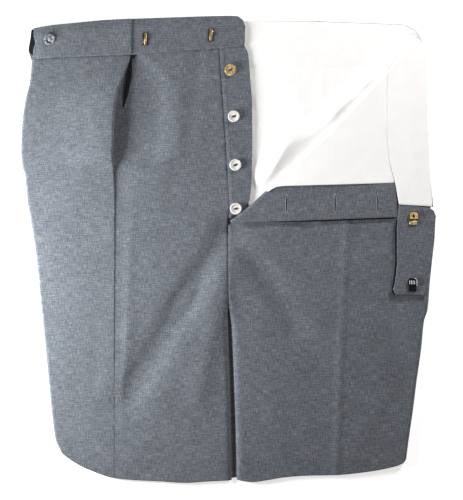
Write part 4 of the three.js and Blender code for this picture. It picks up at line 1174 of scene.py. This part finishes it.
def put_at(obj, place, turn=0.0, tilt=(0.0, 0.0)):
    """Turns, tilts and moves the points of a small piece, so that the object itself stays put."""
    matrix = Euler((tilt[0], tilt[1], turn)).to_matrix().to_4x4()
    matrix.translation = Vector(in_scene(place))
    obj.data.transform(matrix)
    return obj


def solid_curve(curve, material):
    """A curve that has thickness, as a mesh object."""
    obj = in_view(curve.name, curve)
    mesh = shape_of(obj)
    bpy.data.objects.remove(obj)
    mesh.materials.clear()
    mesh.materials.append(material)
    return in_view(curve.name, mesh)


def tube(name, paths, radius, material):
    """Round threads or rims along paths in millimetres, as one mesh."""
    made = solid_curve(curve_through(
        name, [path * 0.001 for path in paths], dimensions="3D", bevel_depth=radius * 0.001,
        bevel_resolution=2, use_fill_caps=True), material)
    made.data.shade_smooth()
    return made


def drilled_button(name, diameter, material, thread):
    """A two-hole button on its thread."""
    button = spun(name, outline_of_button, diameter / 2, BUTTON_HEIGHT, material)
    for side in (-HOLE_PLACE, HOLE_PLACE):
        drill = spun("drill", [[0, -1], [1, -1], [1, 2], [0, 2]], HOLE_RADIUS, BUTTON_HEIGHT, material, 24)
        drill.data.transform(Matrix.Translation((0, side * 0.001, 0)))
        cut = button.modifiers.new("hole", "BOOLEAN")
        cut.operation, cut.object, cut.solver = "DIFFERENCE", drill, "EXACT"
        mesh = shape_of(button)
        button.modifiers.clear()
        button.data = mesh
        bpy.data.objects.remove(drill)
    t = np.linspace(-1, 1, 13)
    strands = [np.column_stack([side * (1 - 0.5 * t**2), 2.5 * t, 0.7 * BUTTON_HEIGHT + 0.3 - 1.5 * t**4])
               for side in (-0.75, 0.0, 0.75)]
    return button, tube(name + "_thread", strands, 0.6, thread)


def polished(name, dark, middle, pale, scale=260.0, coat=0.3):
    """Polished shell or horn: cloudy bands under a smooth clear surface."""
    return clouded(name, scale, [(0.35, dark), (0.5, middle), (0.65, pale)], 3.0, 1.2,
                   Roughness=0.22, IOR=1.53, Coat_Weight=coat)


pearl = polished("polished_shell", "#cfcbc3", "#e2dfd8", "#f0eee9")
horn = polished("polished_horn", "#8c6f3f", "#b79a68", "#d8c59c")
grey_pearl = polished("grey_shell", "#3b3f46", "#747980", "#b9bcc1", 320.0, 0.4)
fly_places = [(2.8, 492, 115, horn), (6.8, 436.3, 96, pearl), (8.8, 378, 101, pearl), (9.4, 325.5, 94, pearl)]
buttons = []
for number, (x, y, turn, material) in enumerate(fly_places, 1):
    pair = drilled_button(f"button_fly_{number}", 14, material, dark_thread)
    buttons.append([put_at(obj, [x, y, 5.95], np.radians(turn)) for obj in pair])
band_button = [put_at(obj, [-214.2, 528.6, 7.35], 0.0, (0.05, 0.12))
               for obj in drilled_button("button_waistband", 13, grey_pearl, pale_thread)]
print(len(buttons) + 1, "buttons made")

# %% [markdown]
# The bars and hooks are stamped from sheet metal. A flat outline is filled, given a thickness
# and a small bevel, and turned into a mesh. The brass is a little worn, and the steel is
# lacquered black with small bare spots.

# %% Stamped metal
brass = clouded("stamped_brass", 400.0, [(0.35, "#b1935a"), (0.5, "#dcc28c"), (0.65, "#f4e6c2")],
                Metallic=1.0, Roughness=0.42)
black_steel = clouded("black_lacquered_steel", 700.0, [(0.5, "#08090a"), (0.72, "#1c1d20")],
                      Roughness=0.5, Specular_IOR_Level=0.2)
steel = black_steel.node_tree
bare_spots = ramp(steel, steel.nodes["Noise Texture"].outputs[0], [(0.6, "#000000"), (0.75, "#ffffff")])
steel.links.new(bare_spots, steel.nodes["Principled BSDF"].inputs["Metallic"])
# Painted shade in a dark brass colour: the rims round the bars and the brass hook, and that hook's base seen
# through its hole.
brass_painted_shade = new_material("painted_shade_brass", Metallic=0.6, Roughness=0.5, Base_Color=light_of("#2e2414"))[0]
# Painted highlight in a pale steel grey: one edge and the ribs of the black hook.
steel_painted_highlight = new_material("painted_highlight_steel_edge", Metallic=0.1, Roughness=0.35, Base_Color=light_of("#c9ccd2"))[0]


def plate(name, outlines, depth, bevel, material):
    """A flat plate from closed outlines in millimetres; later outlines are its holes."""
    paths = [[(x * 0.001, y * 0.001, 0) for x, y in outline] for outline in outlines]
    return solid_curve(curve_through(
        name, paths, True, dimensions="2D", fill_mode="BOTH", extrude=depth * 0.0005,
        bevel_depth=bevel * 0.001, bevel_resolution=2), material)


def arc(x, y, radius, start, end, count=9):
    turn = np.radians(np.linspace(start, end, count))
    return np.column_stack([x + radius * np.cos(turn), y + radius * np.sin(turn)]).tolist()


def joined(name, objs):
    """Several meshes as one piece."""
    with bpy.context.temp_override(active_object=objs[0], selected_editable_objects=objs):
        bpy.ops.object.join()
    objs[0].name = objs[0].data.name = name
    return objs[0]


print("brass and black steel made")

# %% [markdown]
# A bar has two feet on the cloth and a raised bridge between them, which the hook catches. A
# hook is a plate over a base, with a lip that stands free. The brass hook's rim, ribs and base are
# painted shade in a dark brass colour, as is a rim round each bar; the black hook has a painted
# highlight in pale steel along one side and on the ribs across its plate.

# %% Bars and hooks
BAR_LEVEL = 6.45
BAR_WIDTH = 2.8
bar_side = [[-7, 0], [-3.8, 0], [-2.8, 1], [2.8, 1], [3.8, 0], [7, 0], [7.1, 0.5], [7, 0.9], [3.8, 1.3],
            [2.4, 2], [-2.4, 2], [-3.8, 1.3], [-7, 0.9], [-7.1, 0.5]]
bar_painted_shadow_rim = np.array([[-2.5, -7, 0.3], [2.5, -7, 0.3], [2.5, 7, 0.3], [-2.5, 7, 0.3], [-2.5, -7, 0.3]])
bars = []
for number, (x, y) in enumerate([(-99, 529), (-20.4, 534)], 1):
    bar = plate(f"bar_{number}", [bar_side], BAR_WIDTH, 0.3, brass)
    bar.data.transform(Matrix.Rotation(np.pi / 2, 4, "Z") @ Matrix.Rotation(np.pi / 2, 4, "X"))
    # A dark tube round the bar's outline is painted shadow.
    bar = joined(f"bar_{number}", [bar, tube("bar_painted_shadow_rim", [bar_painted_shadow_rim], 0.7, brass_painted_shade)])
    bars.append(put_at(bar, [x, y, BAR_LEVEL]))

hook_outline = [[-5.2, 0.3], [5.2, 0.3], [5.2, 6], *arc(2.1, 6, 3.1, 0, 90), *arc(-2.1, 6, 3.1, 90, 180)]
hook_drop = [[0, 8], [-1, 5.8], [-1.6, 4.4], *arc(0, 3.6, 1.8, 160, 380), [1, 5.8]]
hook_base = [[-4.4, -6.7], [4.4, -6.7], [4.4, 8.6], [-4.4, 8.6]]
hook_lip = [[-4.7, -6], [3.9, -6], [3.9, -2], [-4.7, -2]]
RIM_LEVEL = 1.9
whole_rim, one_side = [*hook_outline, hook_outline[0]], hook_outline[1:12]
hooks = []
# The edge material paints the rims and ribs: painted shade on the brass hook, painted highlight along one
# side of the black hook.
for number, (x, y, material, base_material, edge_material, rim, (rib_level, rib_low, rib_high)) in enumerate([
        (222.5, 312.5, brass, brass_painted_shade, brass_painted_shade, whole_rim, (1.5, -5.8, -2.4)),
        (221, 233, black_steel, black_steel, steel_painted_highlight, one_side, (1.95, 2.0, 6.5))], 1):
    parts = [plate("plate", [hook_outline, hook_drop], 0.9, 0.25, material),
             plate("base", [hook_base], 0.3, 0.15, base_material),
             plate("lip", [hook_lip], 0.5, 0.25, material)]
    for part, z in zip(parts, (1.25, 0.4, 1.0)):
        part.data.transform(Matrix.Translation((0, 0, z * 0.001)))
    ribs = [np.array([[rib_x, rib_low, rib_level], [rib_x, rib_high, rib_level]])
            for rib_x in (-3.4, -1.4, 0.6, 2.6)]
    rim = np.column_stack([np.array(rim), np.full(len(rim), RIM_LEVEL)])
    hook = joined(f"hook_piece_{number}", [*parts, tube("rim", [rim, *ribs], 0.36, edge_material)])
    hooks.append(put_at(hook, [x, y, float(tab_height(x, y)) + TAB_WALL / 2 + 0.3]))
print(len(bars), "bars and", len(hooks), "hooks made")

# %% [markdown]
# Each piece now takes the place of its solid and rides with the one body. For each piece of
# cloth, the size that it was cut to and its area are printed.

# %% Replacing the solids
laid = [
    (back_right, "back_right", []), (back_left, "back_left", []), (waistband_back, "waistband_back", []),
    (back_lining, "back_lining", [back_left]),
    (waistband_back_lining, "waistband_back_lining", [waistband_back]),
    (front_right, "front_right", [back_right]),
    (waistband_right_side, "waistband_right_side", [waistband_back]),
    (waistband_right_front, "waistband_right_front", [waistband_back]),
    (fly_underlap, "fly_underlap", [back_lining]),
    (front_left, "front_left", [back_left]), (front_left_lining, "front_left_lining", [front_left]),
    (fly_facing, "fly_facing", [front_left]), (waistband_left, "waistband_left", [front_left]),
    (waistband_left_lining, "waistband_left_lining", [waistband_left]),
    (waistband_tab, "waistband_tab", [front_left])]


def half_area(obj):
    """Half of a closed wall's surface: the area of its cloth."""
    return sum(p.area for p in obj.data.polygons) / 2


for obj, node, below in laid:
    finish = "white_lining" if node.endswith("lining") else "wool_cloth"
    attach(obj, "root")
    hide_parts(node)
    size = np.ptp(np.array([d.uv[:] for d in obj.data.uv_layers["cloth"].data]), axis=0)
    area = half_area(obj)
    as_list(below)
    print(node, "cut from", size.round(3), "m, area", round(area, 4), "m2")

small = [(pair, f"fly_button_{i}", "horn_button" if i == 1 else "pearl_button")
         for i, pair in enumerate(buttons, 1)]
small += [(band_button, "waistband_button", "grey_button")]
small += [([bar], f"hook_bar_{i}", "brass_hardware") for i, bar in enumerate(bars, 1)]
small += [([hook], f"hook_{i}", "brass_hardware" if i == 1 else "black_hardware")
          for i, hook in enumerate(hooks, 1)]
for objs, node, finish in small:
    for obj in objs:
        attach(obj, "root")
    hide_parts(node)
for obj in [*in_the_shade, stand_row, *buttonholes, *slits]:
    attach(obj, "root")

# %% [markdown]
# The picture: a pale table, a camera straight above, a low soft lamp from the left that shows the
# folds, a second low lamp from the upper right, a weak one overhead, and a pale sky that fills
# the shadows.

# %% Table, camera and light
CAMERA_HEIGHT = 2.2
PICTURE_HEIGHT = 0.6
PICTURE_MIDDLE = [4.2, 276, 0]
floor_mesh = bpy.data.meshes.new("table_top")
floor_mesh.from_pydata([[-2, -2, 0], [2, -2, 0], [2, 2, 0], [-2, 2, 0]], [], [[0, 1, 2, 3]])
floor = in_view("table_top", floor_mesh)
white_table = new_material("white_table", Base_Color=light_of("#fbfbfb"), Roughness=0.9,
                           Emission_Color=(1, 1, 1, 1), Emission_Strength=0.6)[0]
floor_mesh.materials.append(white_table)

scene = bpy.context.scene
camera = in_view("camera", bpy.data.cameras.new("camera"))
camera.location = (*in_scene(PICTURE_MIDDLE)[:2], CAMERA_HEIGHT)
camera.data.sensor_width = 36
camera.data.lens = 36 * (CAMERA_HEIGHT - 0.006) / PICTURE_HEIGHT
scene.camera = camera

world = bpy.data.worlds.new("pale_sky")
world.use_nodes = True
sky = world.node_tree.nodes["Background"]
sky.inputs["Color"].default_value = (1.0, 0.9, 0.82, 1)
sky.inputs["Strength"].default_value = 0.1
scene.world = world


def lamp(name, place, target, size, power, colour):
    """A square soft lamp turned towards a point."""
    data = bpy.data.lights.new(name, "AREA")
    data.size, data.energy, data.color = size, power, colour
    obj = in_view(name, data)
    obj.location = place
    obj.rotation_mode = "QUATERNION"
    obj.rotation_quaternion = (Vector(target) - Vector(place)).to_track_quat("-Z", "Y")


lamp("left_window", (-0.571, -0.06, 0.19), (0.0, -0.03, 0.0), 0.2, 9.4, (0.97, 0.99, 1.0))
lamp("top_lamp", (0.78, 0.86, 0.42), (0.05, 0.0, 0.0), 0.12, 12.5, (0.97, 0.985, 1.0))
lamp("overhead", (0.3, 0.1, 2.4), (0.0, 0.0, 0.0), 0.7, 4.4, (1.0, 0.9, 0.8))
scene.view_settings.view_transform = "Standard"
print("camera", round(camera.data.lens, 1), "mm lens")
